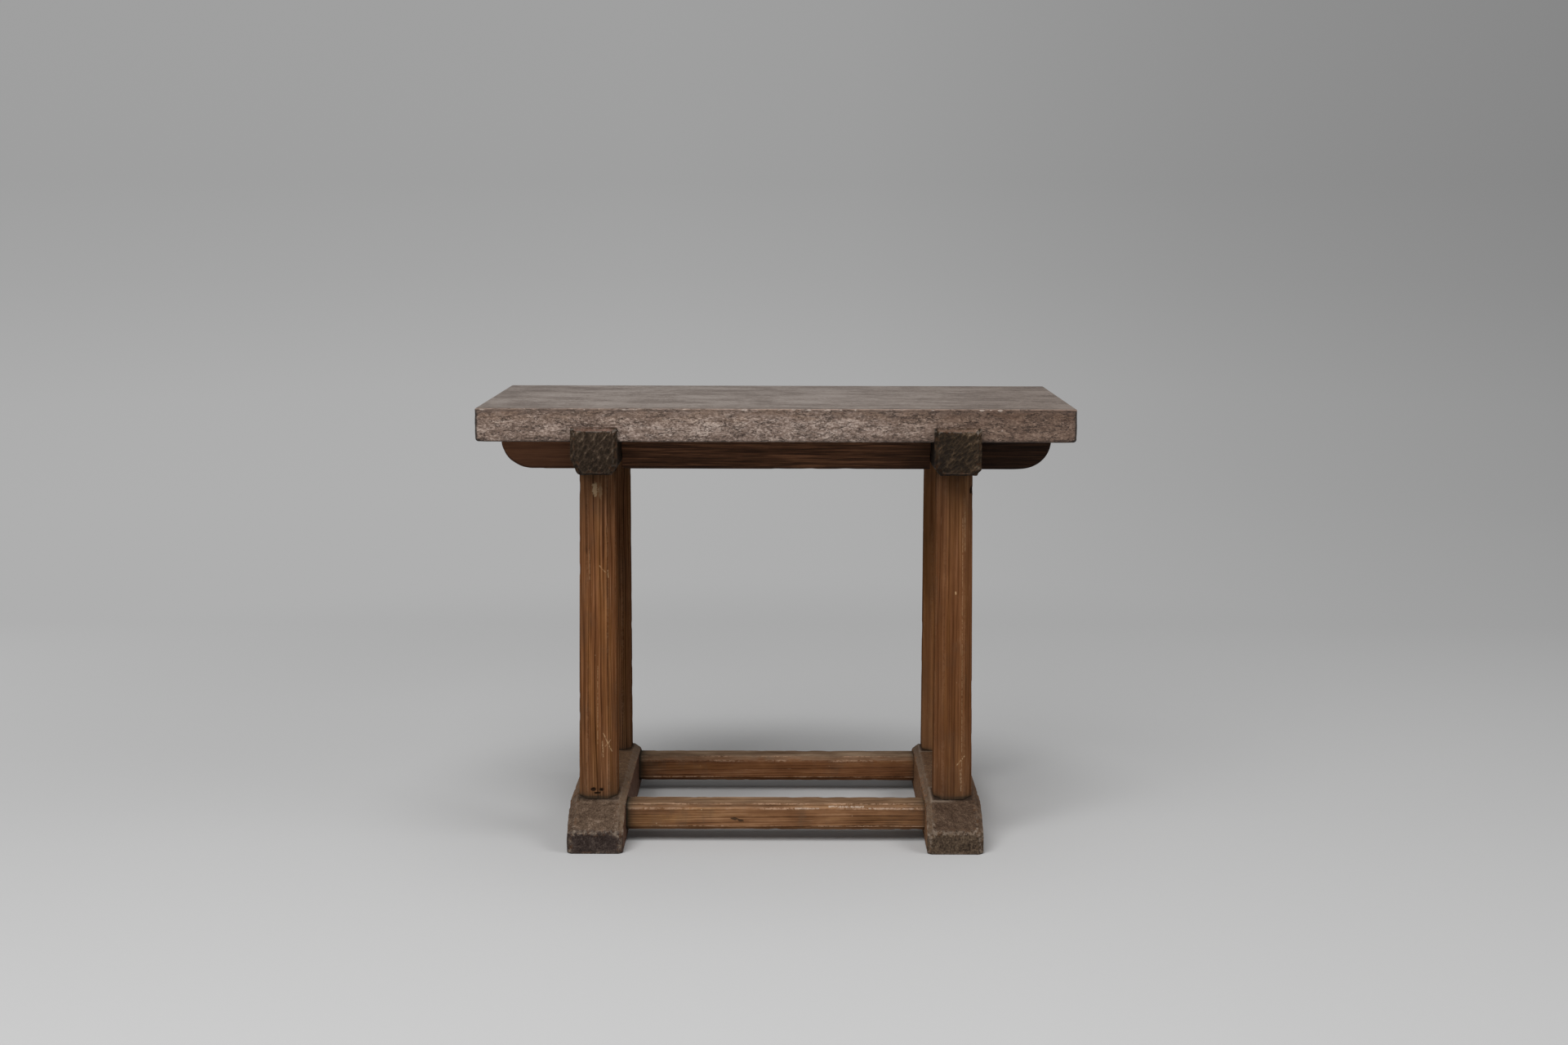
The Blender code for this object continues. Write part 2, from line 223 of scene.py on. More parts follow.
def nibbled(mesh, points, shape):
    # the depth to which the arrises are worn away
    sizes, seed, low, high = shape["nibble"]
    return marked(mesh, "arris") * easedStep(softNoise(points, sizes, seed), low, high) * shape["nibbleDepth"]


def wear(mesh, points, shape):
    # the depth of a planed piece's waves and of its worn arrises
    return (1 + layered(points, shape["waves"])) * shape["waveDepth"] + nibbled(mesh, points, shape)


def vectorsOf(items, name):
    values = np.empty(len(items) * 3, np.float32)
    items.foreach_get(name, values)
    return values.reshape(-1, 3).astype(float)


def pointsOf(mesh):
    return vectorsOf(mesh.vertices, "co")


def normalsOf(mesh):
    return vectorsOf(mesh.vertex_normals, "vector")


def setPoints(mesh, points):
    mesh.vertices.foreach_set("co", points.astype(np.float32).ravel())
    mesh.update()


def carve(mesh, depth):
    # moves each point inward by its own depth
    setPoints(mesh, pointsOf(mesh) - normalsOf(mesh) * depth[:, None])


joint = {
    "gap": 0.0003,     # left round a piece in its joint
    "over": 0.010,     # how far a cutter runs past the surface
    "kerf": 0.020,     # how far a kerf's cutter runs past its wedge, since it is open at both sides
    "pegSides": 32,
}


def addObject(name, data):
    made = bpy.data.objects.new(name, data)
    bpy.context.scene.collection.objects.link(made)
    return made


def addPiece(name, mesh, finish, slot, *nodes):
    mesh.materials.clear()
    mesh.materials.append(finish)
    mesh.shade_smooth()
    mesh.set_sharp_from_angle(angle=math.radians(50))
    piece = addObject(name, mesh)
    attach(piece, "root")
    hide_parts(*nodes)
    return piece


def boxesMesh(boxes):
    work = bmesh.new()
    for low, high in boxes:
        corners = [work.verts.new(corner) for corner in itertools.product(*zip(low, high))]
        for face in ((0, 1, 3, 2), (4, 6, 7, 5), (0, 4, 5, 1), (2, 3, 7, 6), (0, 2, 6, 4), (1, 5, 7, 3)):
            work.faces.new([corners[index] for index in face])
    return cutterMesh(work)


def holesMesh(places, radius, low, high):
    # upright round holes
    work = bmesh.new()
    for x, y in places:
        lid = bmesh.ops.create_circle(work, cap_ends=True, segments=joint["pegSides"], radius=radius)["verts"]
        bmesh.ops.translate(work, verts=lid, vec=(x, y, low))
        body = bmesh.ops.extrude_face_region(work, geom=list(lid[0].link_faces))["geom"]
        raised = [part for part in body if isinstance(part, bmesh.types.BMVert)]
        bmesh.ops.translate(work, verts=raised, vec=(0, 0, high - low))
        bmesh.ops.contextual_create(work, geom=[edge for edge in work.edges if edge.is_boundary])
    return cutterMesh(work)


def cutterMesh(work):
    mesh = bpy.data.meshes.new("joint_cutter")
    work.to_mesh(mesh)
    work.free()
    turnOutward(mesh)
    return mesh


def cutJoints(piece, *cutters):
    # cuts each mesh in turn out of a piece, as its joints
    helpers = []
    for mesh in cutters:
        helpers.append(addObject("joint_cutter", mesh))
        cut = piece.modifiers.new("joint", "BOOLEAN")
        cut.object = helpers[-1]
        cut.operation = "DIFFERENCE"
        cut.solver = "EXACT"
    graph = bpy.context.evaluated_depsgraph_get()
    mesh = bpy.data.meshes.new_from_object(piece.evaluated_get(graph))
    piece.modifiers.clear()
    piece.data = mesh
    for helper in helpers:
        bpy.data.objects.remove(helper)


# Finishes, with shader sums written as sums

class Value:
    def __init__(self, finish, socket):
        self.finish = finish
        self.socket = socket

    def __add__(self, other):
        return self.finish.maths("ADD", self, other)

    def __sub__(self, other):
        return self.finish.maths("SUBTRACT", self, other)

    def __rsub__(self, other):
        return self.finish.maths("SUBTRACT", other, self)

    def __mul__(self, other):
        return self.finish.maths("MULTIPLY", self, other)

    def __truediv__(self, other):
        return self.finish.maths("DIVIDE", self, other)

    __radd__ = __add__
    __rmul__ = __mul__


class Finish:
    def __init__(self, name, look):
        self.look = look
        self.material = bpy.data.materials.new(name)
        self.material.use_nodes = True
        self.tree = self.material.node_tree
        self.shader = self.tree.nodes["Principled BSDF"]
        self.place = self.node("ShaderNodeTexCoord", output="Object")

    def node(self, kind, settings=None, inputs=None, output=0):
        # settings go in first, then the values or links of the sockets
        made = self.tree.nodes.new(kind)
        for name, value in (settings or {}).items():
            if name == "stops":
                self.setStops(made.color_ramp, value)
            else:
                setattr(made, name, value)
        for name, value in (inputs or {}).items():
            self.feed(self.findSocket(made.inputs, name), value)
        return Value(self, self.findSocket(made.outputs, output))

    def findSocket(self, sockets, name):
        if isinstance(name, int):
            return sockets[name]
        return next(socket for socket in sockets if name in (socket.identifier, socket.name))

    def feed(self, socket, value):
        if isinstance(value, Value):
            self.tree.links.new(value.socket, socket)
        elif socket.type == "RGBA":
            socket.default_value = (*value, 1.0)
        else:
            socket.default_value = value

    def setStops(self, ramp, stops):
        while len(ramp.elements) > 1:
            ramp.elements.remove(ramp.elements[0])
        for index, (position, colour) in enumerate(stops):
            element = ramp.elements[0] if index == 0 else ramp.elements.new(position)
            element.position = position
            element.color = (*colour, 1.0) if isinstance(colour, tuple) else (colour, colour, colour, 1.0)

    def ramp(self, value, stops):
        return self.node("ShaderNodeValToRGB", {"stops": stops}, {"Fac": value})

    def maths(self, operation, first, second=0.0):
        return self.node("ShaderNodeMath", {"operation": operation}, {0: first, 1: second})

    def vector(self, operation, first, second, output=0):
        return self.node("ShaderNodeVectorMath", {"operation": operation}, {0: first, 1: second}, output)

    def length(self, vector):
        return self.vector("LENGTH", vector, (0, 0, 0), "Value")

    def step(self, value, low, high):
        # 0 below low, 1 above high and an eased climb between
        inputs = {"Value": value, "From Min": low, "From Max": high}
        return self.node("ShaderNodeMapRange", {"interpolation_type": "SMOOTHSTEP"}, inputs)

    def noise(self, sizes, detail, roughness, turn=(0, 0, 0), shift=(0, 0, 0)):
        # from 0 to 1, with lumps of the given size in metres, or of three sizes along X, Y and Z
        sizes = [sizes] * 3 if isinstance(sizes, float) else sizes
        spot = self.place
        if any(turn):
            inputs = {"Vector": spot, "Rotation": turn}
            spot = self.node("ShaderNodeVectorRotate", {"rotation_type": "EULER_XYZ"}, inputs)
        scale = [1 / size for size in sizes]
        spot = self.node("ShaderNodeMapping", None, {"Vector": spot, "Scale": scale, "Location": shift})
        inputs = {"Vector": spot, "Scale": 1.0, "Detail": detail, "Roughness": roughness}
        return self.node("ShaderNodeTexNoise", None, inputs, "Fac")

    def islands(self, sizes, detail, roughness, shift, low, high):
        # a noise made into areas: 0 where it is below low and 1 where it is above high
        return self.step(self.noise(sizes, detail, roughness, shift=shift), low, high)

    def spots(self, size, radius, keep, shift=(0, 0, 0)):
        # 1 inside a few round spots: size is their spacing, radius their share of it, and keep the share of
        # cells that have one
        scale = [1 / size] * 3
        spot = self.node("ShaderNodeMapping", None, {"Vector": self.place, "Scale": scale, "Location": shift})
        cells = self.node("ShaderNodeTexVoronoi", None, {"Vector": spot, "Scale": 1.0}, "Distance")
        near = 1 - self.step(cells, radius * 0.5, radius)
        return near * self.maths("LESS_THAN", Value(self, cells.socket.node.outputs["Color"]), keep)

    def nearLine(self, start, end, width):
        # 1 on the line between two points of a front face and 0 at the given width from it
        along = Vector(end) - Vector(start)
        reach = self.vector("MULTIPLY", self.vector("SUBTRACT", self.place, start), (1, 0.1, 1))
        share = self.vector("DOT_PRODUCT", reach, along / along.length_squared, "Value")
        share = self.maths("MINIMUM", self.maths("MAXIMUM", share, 0.0), 1.0)
        nearest = self.node("ShaderNodeVectorMath", {"operation": "SCALE"}, {0: along, "Scale": share})
        return 1 - self.step(self.vector("DISTANCE", reach, nearest, "Value"), width * 0.4, width)

    def patch(self, middle, sizes):
        # 1 inside a worn patch with a ragged outline
        spot = self.vector("DIVIDE", self.vector("SUBTRACT", self.place, middle), sizes)
        return 1 - self.step(self.length(spot) + (self.noise(0.006, 4, 0.7) - 0.5) * 2, 0.6, 1.0)

    def coat(self, share, paint):
        # lays a paint, or the look's colour of that name, over the colour so far
        self.colour = self.mix(share, self.colour, self.look[paint] if isinstance(paint, str) else paint)

    def tint(self, share, name):
        self.coat(share, self.mix(1.0, self.colour, self.look[name], "MULTIPLY"))

    def mix(self, share, first, second, blend="MIX"):
        inputs = {"Factor_Float": share, "A_Color": first, "B_Color": second}
        return self.node("ShaderNodeMix", {"data_type": "RGBA", "blend_type": blend}, inputs, "Result_Color")

    def axis(self, name):
        return self.node("ShaderNodeSeparateXYZ", None, {"Vector": self.place}, name)

    def attribute(self, name):
        return self.node("ShaderNodeAttribute", {"attribute_name": name}, None, "Fac")

    def facing(self, axis):
        # how far the surface faces up or down an axis of the room
        normal = self.node("ShaderNodeNewGeometry", output="Normal")
        return self.node("ShaderNodeSeparateXYZ", None, {"Vector": normal}, axis)

    def bump(self, height, depth, strength=1.0):
        inputs = {"Height": height, "Distance": depth, "Strength": strength}
        self.feed(self.shader.inputs["Normal"], self.node("ShaderNodeBump", None, inputs, "Normal"))

    def dress(self, roughness, specular=0.5):
        self.feed(self.shader.inputs["Base Color"], self.colour)
        self.feed(self.shader.inputs["Roughness"], roughness)
        self.shader.inputs["Specular IOR Level"].default_value = specular
        return self.material


def stopsAt(*colours, places=(0.10, 0.30, 0.50, 0.70, 0.92)):
    # a ramp's stops, dark to pale
    return list(zip(places, colours))


def tinted(stops, tint):
    # a ramp's stops with every colour multiplied by a tint
    return [(place, tuple(value * share for value, share in zip(colour, tint))) for place, colour in stops]


# Stone

stoneLook = {
    "side": [(0.12, (0.060, 0.037, 0.027)), (0.32, (0.113, 0.073, 0.054)), (0.50, (0.177, 0.123, 0.096)),
             (0.68, (0.255, 0.188, 0.153)), (0.90, (0.405, 0.322, 0.274))],
    # the honed top's colour, greyed partly as a painted reflection of the pale backdrop
    "top": [(0.20, (0.130, 0.100, 0.083)), (0.50, (0.202, 0.164, 0.140)), (0.80, (0.275, 0.233, 0.206))],
    "brown": (0.59, 0.505, 0.44),     # what the right end's colour is multiplied by
    "ochre": (1.02, 0.93, 0.80),
    "warm": (0.98, 0.96, 0.94),       # the same at the left end
    "line": (0.085, 0.056, 0.043),    # painted shade in a line under the top arris
    "pit": (0.045, 0.030, 0.022),
    # paler stone on the worn top arris, and a painted highlight there
    "edge": (0.400, 0.285, 0.230),
    "chip": (0.500, 0.440, 0.390),
    # painted shade on the rounded arrises, darkest round the ends
    "rim": (0.022, 0.015, 0.011),
    "base": 0.694,     # Z of the slab's underside
    "thickness": 0.056,
}


def stoneFinish():
    look = stoneLook
    f = Finish("limestone", look)
    up = f.step(f.facing("Z"), 0.6, 0.95)
    across = f.axis("X")
    level = (f.axis("Z") - look["base"]) / look["thickness"]
    cloud = f.noise((0.048, 0.048, 0.017), 3, 0.6)
    beds = f.noise((0.13, 0.13, 0.008), 3, 0.6, shift=(3, 1, 7))
    mottle = f.noise((0.0110, 0.0085, 0.0050), 4, 0.75, shift=(8, 2, 1))
    grain = f.noise((0.0048, 0.0036, 0.0026), 3, 0.7)
    band = f.step(level, 0.04, 0.30) * (1 - f.step(level, 0.56, 0.84))
    calm = 1 - f.step(level, 0.66, 0.84) * 0.65
    tone = 0.43 + band * 0.12 + ((cloud - 0.5) * 0.85 + (beds - 0.5) * 0.55) * calm
    right = f.step(across, 0.08, 0.38)
    fine = (mottle - 0.5) * 0.70 + (grain - 0.5) * 1.80
    tone = tone + fine * (calm * 0.6 + 0.4) * (1 - right * 0.25) + f.step(across, -0.32, -0.12) * 0.05
    wander = f.noise((0.030, 0.030, 0.0080), 6, 0.72, shift=(11, 5, 2))
    seam = 1 - f.step(f.maths("ABSOLUTE", wander - 0.5), 0.004, 0.018)
    pale = f.step(wander, 0.518, 0.538) * (1 - f.step(wander, 0.550, 0.590))
    broken = f.islands((0.030, 0.030, 0.014), 3, 0.6, (2, 9, 4), 0.42, 0.54)
    tone = tone + (pale * 0.20 - seam * 0.38) * broken
    f.colour = f.ramp(tone, look["side"])
    left = 1 - f.step(across, -0.48, -0.12)
    f.tint(left, "warm")
    ochre = f.step(level, 0.45, 0.80) * f.islands((0.060, 0.060, 0.020), 3, 0.6, (4, 4, 9), 0.42, 0.60)
    f.tint(ochre * 0.5, "ochre")
    f.tint(right, "brown")
    pits = f.islands((0.0052, 0.0052, 0.0038), 2, 0.5, (5, 9, 4), 0.65, 0.73)
    f.coat(pits * 0.7, "pit")
    flecks = f.spots(0.022, 0.110, 0.16)
    f.coat(flecks * 0.7, "chip")
    side = f.colour

    # the top: its own stone colour, greyed partly as a painted reflection of the pale backdrop
    veils = f.noise((0.110, 0.045, 0.045), 6, 0.72, turn=(0, 0, 0.12), shift=(2, 4, 6))
    clouds = f.noise((0.070, 0.060, 0.060), 3, 0.6, shift=(6, 4, 1))
    tone = 0.5 + (veils - 0.5) * 1.9 + (clouds - 0.5) * 0.9 + (mottle - 0.5) * 1.1 + (grain - 0.5) * 1.6
    f.colour = f.ramp(tone, look["top"])
    f.tint(f.step(across, 0.05, 0.50) * 0.5, "brown")
    rim = 1 - f.step(f.axis("Y"), -0.243, -0.205)
    f.tint(rim * 0.45, "brown")
    topFlecks = f.spots(0.050, 0.032, 0.30, shift=(4, 4, 4))
    f.coat(topFlecks * 0.6, "chip")
    f.colour = f.mix(up, side, f.colour)

    arris = f.attribute("arris")
    # a thin line of painted shade under the top arris
    line = f.step(level, 0.86, 0.93) * (1 - f.step(level, 0.955, 0.985))
    line = line * (0.35 + f.step(beds, 0.44, 0.56) * 0.65)
    f.coat(line * (1 - up) * 0.55, "line")
    # the top arris paler: partly wear, partly a painted highlight on the rounded arris
    along = f.step(across, -0.15, 0.20)
    wornAndLit = f.step(f.noise((0.040, 0.010, 0.010), 5, 0.7, shift=(1, 7, 3)) + along * 0.24, 0.46, 0.58)
    high = f.step(level, 0.8, 0.95)
    f.coat(f.step(arris, 0.72, 0.95) * wornAndLit * high * 0.95, "edge")
    # painted shade along the rounded arrises, from the rim mark
    f.coat(f.attribute("rim") * 0.9, "rim")
    f.coat(f.step(f.attribute("chip"), 0.35, 0.8) * 0.35, "chip")

    f.bump((grain * 0.5 + mottle * 0.8 - pits * 0.9 - seam * broken * 0.7) * (1 - up * 0.9), 0.0009, 0.9)
    return f.dress(0.60 - up * 0.18 + grain * 0.12, 0.4)


slabShape = {
    "cell": 0.0026,
    "topCell": 0.010,
    "radius": 0.0028,
    "lowRadius": 0.0062,     # at the bottom of the two ends
    "lowFade": (0.006, 0.020),
    "rimStops": (0.0, 0.1, 0.22, 0.38, 0.58, 0.8, 1.0),     # rows of cells over an arris
    "arrisFade": 0.0026,
    "frontTop": 0.020,       # the front top arris gets no painted shade
    "endWidth": 0.008,       # the painted shade round the ends is wider than on the other arrises
    "endRim": (0.0024, 0.0054),
    "endRimDrop": (0.001, 0.006),
    "backRim": 0.4,
    "sideRim": 0.7,
    "roughness": 0.00045,    # of the sawn sides
    "beds": [((0.070, 0.070, 0.007), 3, 0.5), ((0.012, 0.012, 0.006), 4, 0.5)],
    "chips": 34,
    "backChips": 0.35,
    "chipLength": (0.002, 0.008),
    "chipSize": (0.0012, 0.0034),
    "chipDrop": 0.0012,
    "seed": 17,
}


def edgeStops(low, high, cell, radius):
    rim = radius * np.array(slabShape["rimStops"])
    middle = np.linspace(low + 1.4 * radius, high - 1.4 * radius, round((high - low) / cell))
    return np.concatenate([low + rim, middle, (high - rim)[::-1]])


def makeSlab(finish):
    shape = slabShape
    low, high = boxOf("stone_top")
    cells = (shape["cell"], shape["topCell"], shape["cell"])
    stops = [edgeStops(low[axis], high[axis], cells[axis], shape["lowRadius"]) for axis in range(3)]
    mesh = blockSkin("slab", stops)
    points = pointsOf(mesh)
    toArris = np.sort(np.minimum(points - low, high - points), axis=1)[:, 1]
    toEnd = toNearer(points[:, 0], low[0], high[0])
    arris = fading(toArris, shape["arrisFade"])
    mark(mesh, "arris", arris)
    # rim marks the painted shade: the rounded end arrises, and more lightly the other arrises
    frontTop = (points[:, 1] < low[1] + shape["frontTop"]) * (points[:, 2] > high[2] - shape["frontTop"])
    endRim = easedStep(high[2] - points[:, 2], *shape["endRimDrop"])
    endRim *= 1 - easedStep(toArris, *shape["endRim"])
    endRim *= np.where(points[:, 1] < 0, 1, shape["backRim"])
    sideRim = arris * np.where(frontTop, 0, shape["sideRim"])
    mark(mesh, "rim", np.where(toEnd < shape["endWidth"], endRim, sideRim))
    lowEnd = 1 - easedStep(toEnd, *shape["lowFade"])
    lowEnd *= 1 - easedStep(points[:, 2] - low[2], *shape["lowFade"])
    radius = (shape["radius"] + (shape["lowRadius"] - shape["radius"]) * lowEnd)[:, None]
    inner = np.clip(points, low + radius, high - radius)
    away = points - inner
    points = inner + away / np.linalg.norm(away, axis=1)[:, None] * radius
    setPoints(mesh, points)

    side = 1 - np.abs(normalsOf(mesh)[:, 2])
    carve(mesh, side * shape["roughness"] * (1 + layered(points, shape["beds"])))
    chipEdges(mesh, low, high)
    return addPiece("honed_slab", mesh, finish, "limestone", "stone_top")


def chipEdges(mesh, low, high):
    # small flakes gone from the long top arrises
    shape = slabShape
    dice = np.random.default_rng(shape["seed"])
    points = pointsOf(mesh)
    chip = np.zeros(len(points))
    move = np.zeros_like(points)
    for _ in range(shape["chips"]):
        back = dice.random() < shape["backChips"]
        x = low[0] + (high[0] - low[0]) * dice.random() ** 0.75
        length = dice.uniform(*shape["chipLength"])
        size = dice.uniform(*shape["chipSize"])
        centre = (x, high[1] if back else low[1], high[2] - dice.uniform(0, shape["chipDrop"]))
        fall = dents(points, [(centre, (length, size, size))])
        chip = np.maximum(chip, fall)
        move += np.array([0, -0.7 if back else 0.7, -0.7]) * (fall * size * 0.55)[:, None]
    setPoints(mesh, points + move)
    mark(mesh, "chip", chip)


def dents(points, marks):
    # hollows with round floors, each given by its middle and its half sizes
    depth = np.zeros(len(points))
    for middle, sizes in marks:
        reach = (((points - np.array(middle)) / np.array(sizes)) ** 2).sum(axis=1)
        depth = np.maximum(depth, np.sqrt(np.clip(1 - reach, 0, 1)))
    return depth


# Pine of the legs and stretchers

def pineFinish(name, look):
    f = Finish(name, look)
    along = look["along"]

    def sizes(across, length):
        return [length if axis == along else across for axis in range(3)]

    inputs = {"Vector": f.place, "Rotation": look["lean"], "Location": [-value for value in look["pith"]]}
    spot = f.vector("MULTIPLY", f.node("ShaderNodeMapping", None, inputs), sizes(1, 0))
    bend = f.noise(sizes(0.030, 0.24), 2, 0.5, shift=look["shift"])
    ring = (f.length(spot) + bend * look["waver"]) / look["ring"]
    late = f.ramp(f.maths("FRACT", ring), look["year"])
    inputs = {"W": f.maths("FLOOR", ring)}
    strength = f.node("ShaderNodeTexWhiteNoise", {"noise_dimensions": "1D"}, inputs, "Value")
    lines = late * (strength * 0.8 + 0.2)
    fibres = f.noise(sizes(0.0026, 0.20), 3, 0.7, shift=look["shift"])
    stripes = f.noise(sizes(0.0060, 0.70), 2, 0.5, shift=look["shift"])
    blotch = f.noise(sizes(0.022, 0.080), 4, 0.6, shift=look["shift"])
    tone = 0.65 - lines * look["contrast"] + (fibres - 0.5) * look["fibres"]
    tone = tone + (stripes - 0.5) * 0.45 + (blotch - 0.5) * look["cloudy"]
    f.colour = f.ramp(tone, look["tones"])
    warm = f.islands(sizes(0.014, 0.30), 3, 0.6, (5, 5, 9), 0.46, 0.66)
    f.tint(warm * 0.35, "ochre")
    up = f.step(f.facing("Z"), 0.5, 0.9)
    # upward faces paler and greyer: dust, and a painted sheen of the bright room
    f.coat(up * look["dustAndSheenShare"], f.ramp(tone, look["dust"]))

    streak = f.islands(sizes(0.0016, 0.030), 2, 0.5, (9, 3, 5), 0.66, 0.76)
    streak = streak * f.islands(sizes(0.012, 0.16), 2, 0.5, (4, 1, 8), 0.50, 0.62)
    f.coat(streak * 0.6, "rubbed_and_lit")
    stain = f.islands((0.040, 0.040, 0.080), 4, 0.65, look["shift"], 0.48, 0.68)
    f.coat(stain * look["patina"], "grey")
    arris = f.attribute("arris")
    runs = f.islands(sizes(0.030, 0.070), 2, 0.5, (6, 6, 1), 0.40, 0.60)
    broken = f.islands((0.0060, 0.0045, 0.0045), 4, 0.75, (3, 6, 2), 0.40, 0.56)
    broken = broken * (runs * 0.85 + 0.15) * f.step(f.facing("Z"), -0.30, -0.05)
    # pale upper arrises: partly wear, partly a painted highlight; none on arrises that face down
    f.coat(f.step(arris, 0.55, 0.95) * broken * look["wear"], "rubbed_and_lit")
    specks = f.spots(0.016, 0.085, 0.13, look["shift"]) + f.spots(0.0075, 0.10, 0.09, (3, 8, 6)) * 0.8
    f.coat(specks * 0.8, "speck")
    for middle, size, strength in look["patches"]:
        f.coat(f.patch(middle, size) * strength, "scratch")
    gaps = f.islands(0.0035, 3, 0.7, (7, 1, 4), 0.38, 0.56)
    for start, end, width, strength in look["scratches"]:
        line = f.nearLine(start, end, width * look["widen"])
        f.coat(line * gaps * min(strength * look["deepen"], 1), "scratch")
    # dirt and painted shade near the ends of a piece
    grime_and_shade = f.attribute("grime_and_shade")
    f.tint(f.attribute("dull"), "dull")
    f.coat(grime_and_shade, "grime_and_shade")
    f.coat(f.step(f.attribute("dent"), 0.0, 0.5) * 0.9, "dent")
    f.bump(fibres * -0.5 - lines * 0.6, 0.00035, 0.8)
    return f.dress(0.60 + fibres * 0.16 + grime_and_shade * 0.2, 0.0)


legLook = {
    "along": 2,
    "tones": stopsAt((0.041, 0.0152, 0.0062), (0.094, 0.0368, 0.0148), (0.145, 0.0595, 0.0245),
                  (0.199, 0.0855, 0.0365), (0.296, 0.1405, 0.0680)),
    "rubbed_and_lit": (0.330, 0.180, 0.095),
    "scratch": (0.430, 0.265, 0.135),
    "grey": (0.075, 0.045, 0.028),
    # dirt and painted shade
    "grime_and_shade": (0.027, 0.023, 0.0165),
    "dull": (0.93, 1.06, 1.25),     # what the colour is multiplied by near the ends
    "dent": (0.014, 0.009, 0.006),
    "speck": (0.440, 0.300, 0.190),
    "year": [(0, 0.0), (0.35, 0.10), (0.80, 1.0), (0.93, 0.5), (1, 0.0)],     # pale to dark across one ring
    "waver": 0.012,
    "contrast": 0.60,
    "fibres": 1.2,
    "cloudy": 0.40,
    "patina": 0.25,
    "wear": 0.15,
    "ochre": (1.15, 1.20, 0.85),
    "dustAndSheenShare": 0.0,
    # colours of dust and painted sheen on upward faces
    "dust": [(0.10, (0.070, 0.042, 0.026)), (0.50, (0.165, 0.108, 0.072)), (0.90, (0.300, 0.215, 0.150))],
    "patches": [],
    "scratches": [],
    "widen": 1.2,       # of every scratch
    "deepen": 1.6,
}

legShape = {
    "chamfer": 0.014,
    "arris": 0.0045,
    "taper": 0.061 / 0.066,
    "sides": (16, 8),        # cells across a flat and across a chamfer
    "rows": 124,
    "baseRows": 24,          # closer, for the knocks near the foot
    "baseShare": 0.06,
    "endSteps": 4,
    "tenonWidth": 0.026,
    "topShoulder": 0.008,
    "topLength": 0.026,
    "footShoulder": 0.012,
    "calmEnds": (0.006, 0.004),     # the shaft is plain this close to the foot and to the beam
    "waves": [((0.02, 0.02, 0.12), 21, 0.5), ((0.006, 0.006, 0.05), 22, 0.3)],
    "waveDepth": 0.0002,
    "nibble": ((0.02, 0.02, 0.018), 23, 0.25, 0.8),
    "nibbleDepth": 0.0009,
    "dentDepth": 0.0022,
    "grime_and_shade": [(0.0035, 1.0), (0.060, 0.12)],     # reach and share of dirt and painted contact shade, above the foot
    "topShade": [(0.006, 0.5), (0.060, 0.34)],     # and of painted shade below the beam
    "dull": (0.08, 0.10),
}


def legRing(middle, size):
    half = size / 2
    flat = half - legShape["chamfer"]
    corners = [(half, -flat), (half, flat), (flat, half), (-flat, half)]
    corners += [(-x, -y) for x, y in corners]
    wide, narrow = legShape["sides"]
    outline, arris = roundedOutline(corners, [legShape["arris"]] * 8, [wide, narrow] * 4)
    return outline + np.array(middle), arris


def tenonRing(ring, low, high):
    # draws a leg's outline in to its tenon, as far as each point's own direction allows
    middle = (ring.min(axis=0) + ring.max(axis=0)) / 2
    half = (ring.max(axis=0) - ring.min(axis=0)) / 2
    spokes = (ring - middle) / half
    spokes /= np.abs(spokes).max(axis=1)[:, None]
    return (np.array(low) + high) / 2 + spokes * (np.array(high) - low) / 2


def atLevel(ring, level):
    # one level, or one for each point
    return np.column_stack([ring, np.ones(len(ring)) * level])


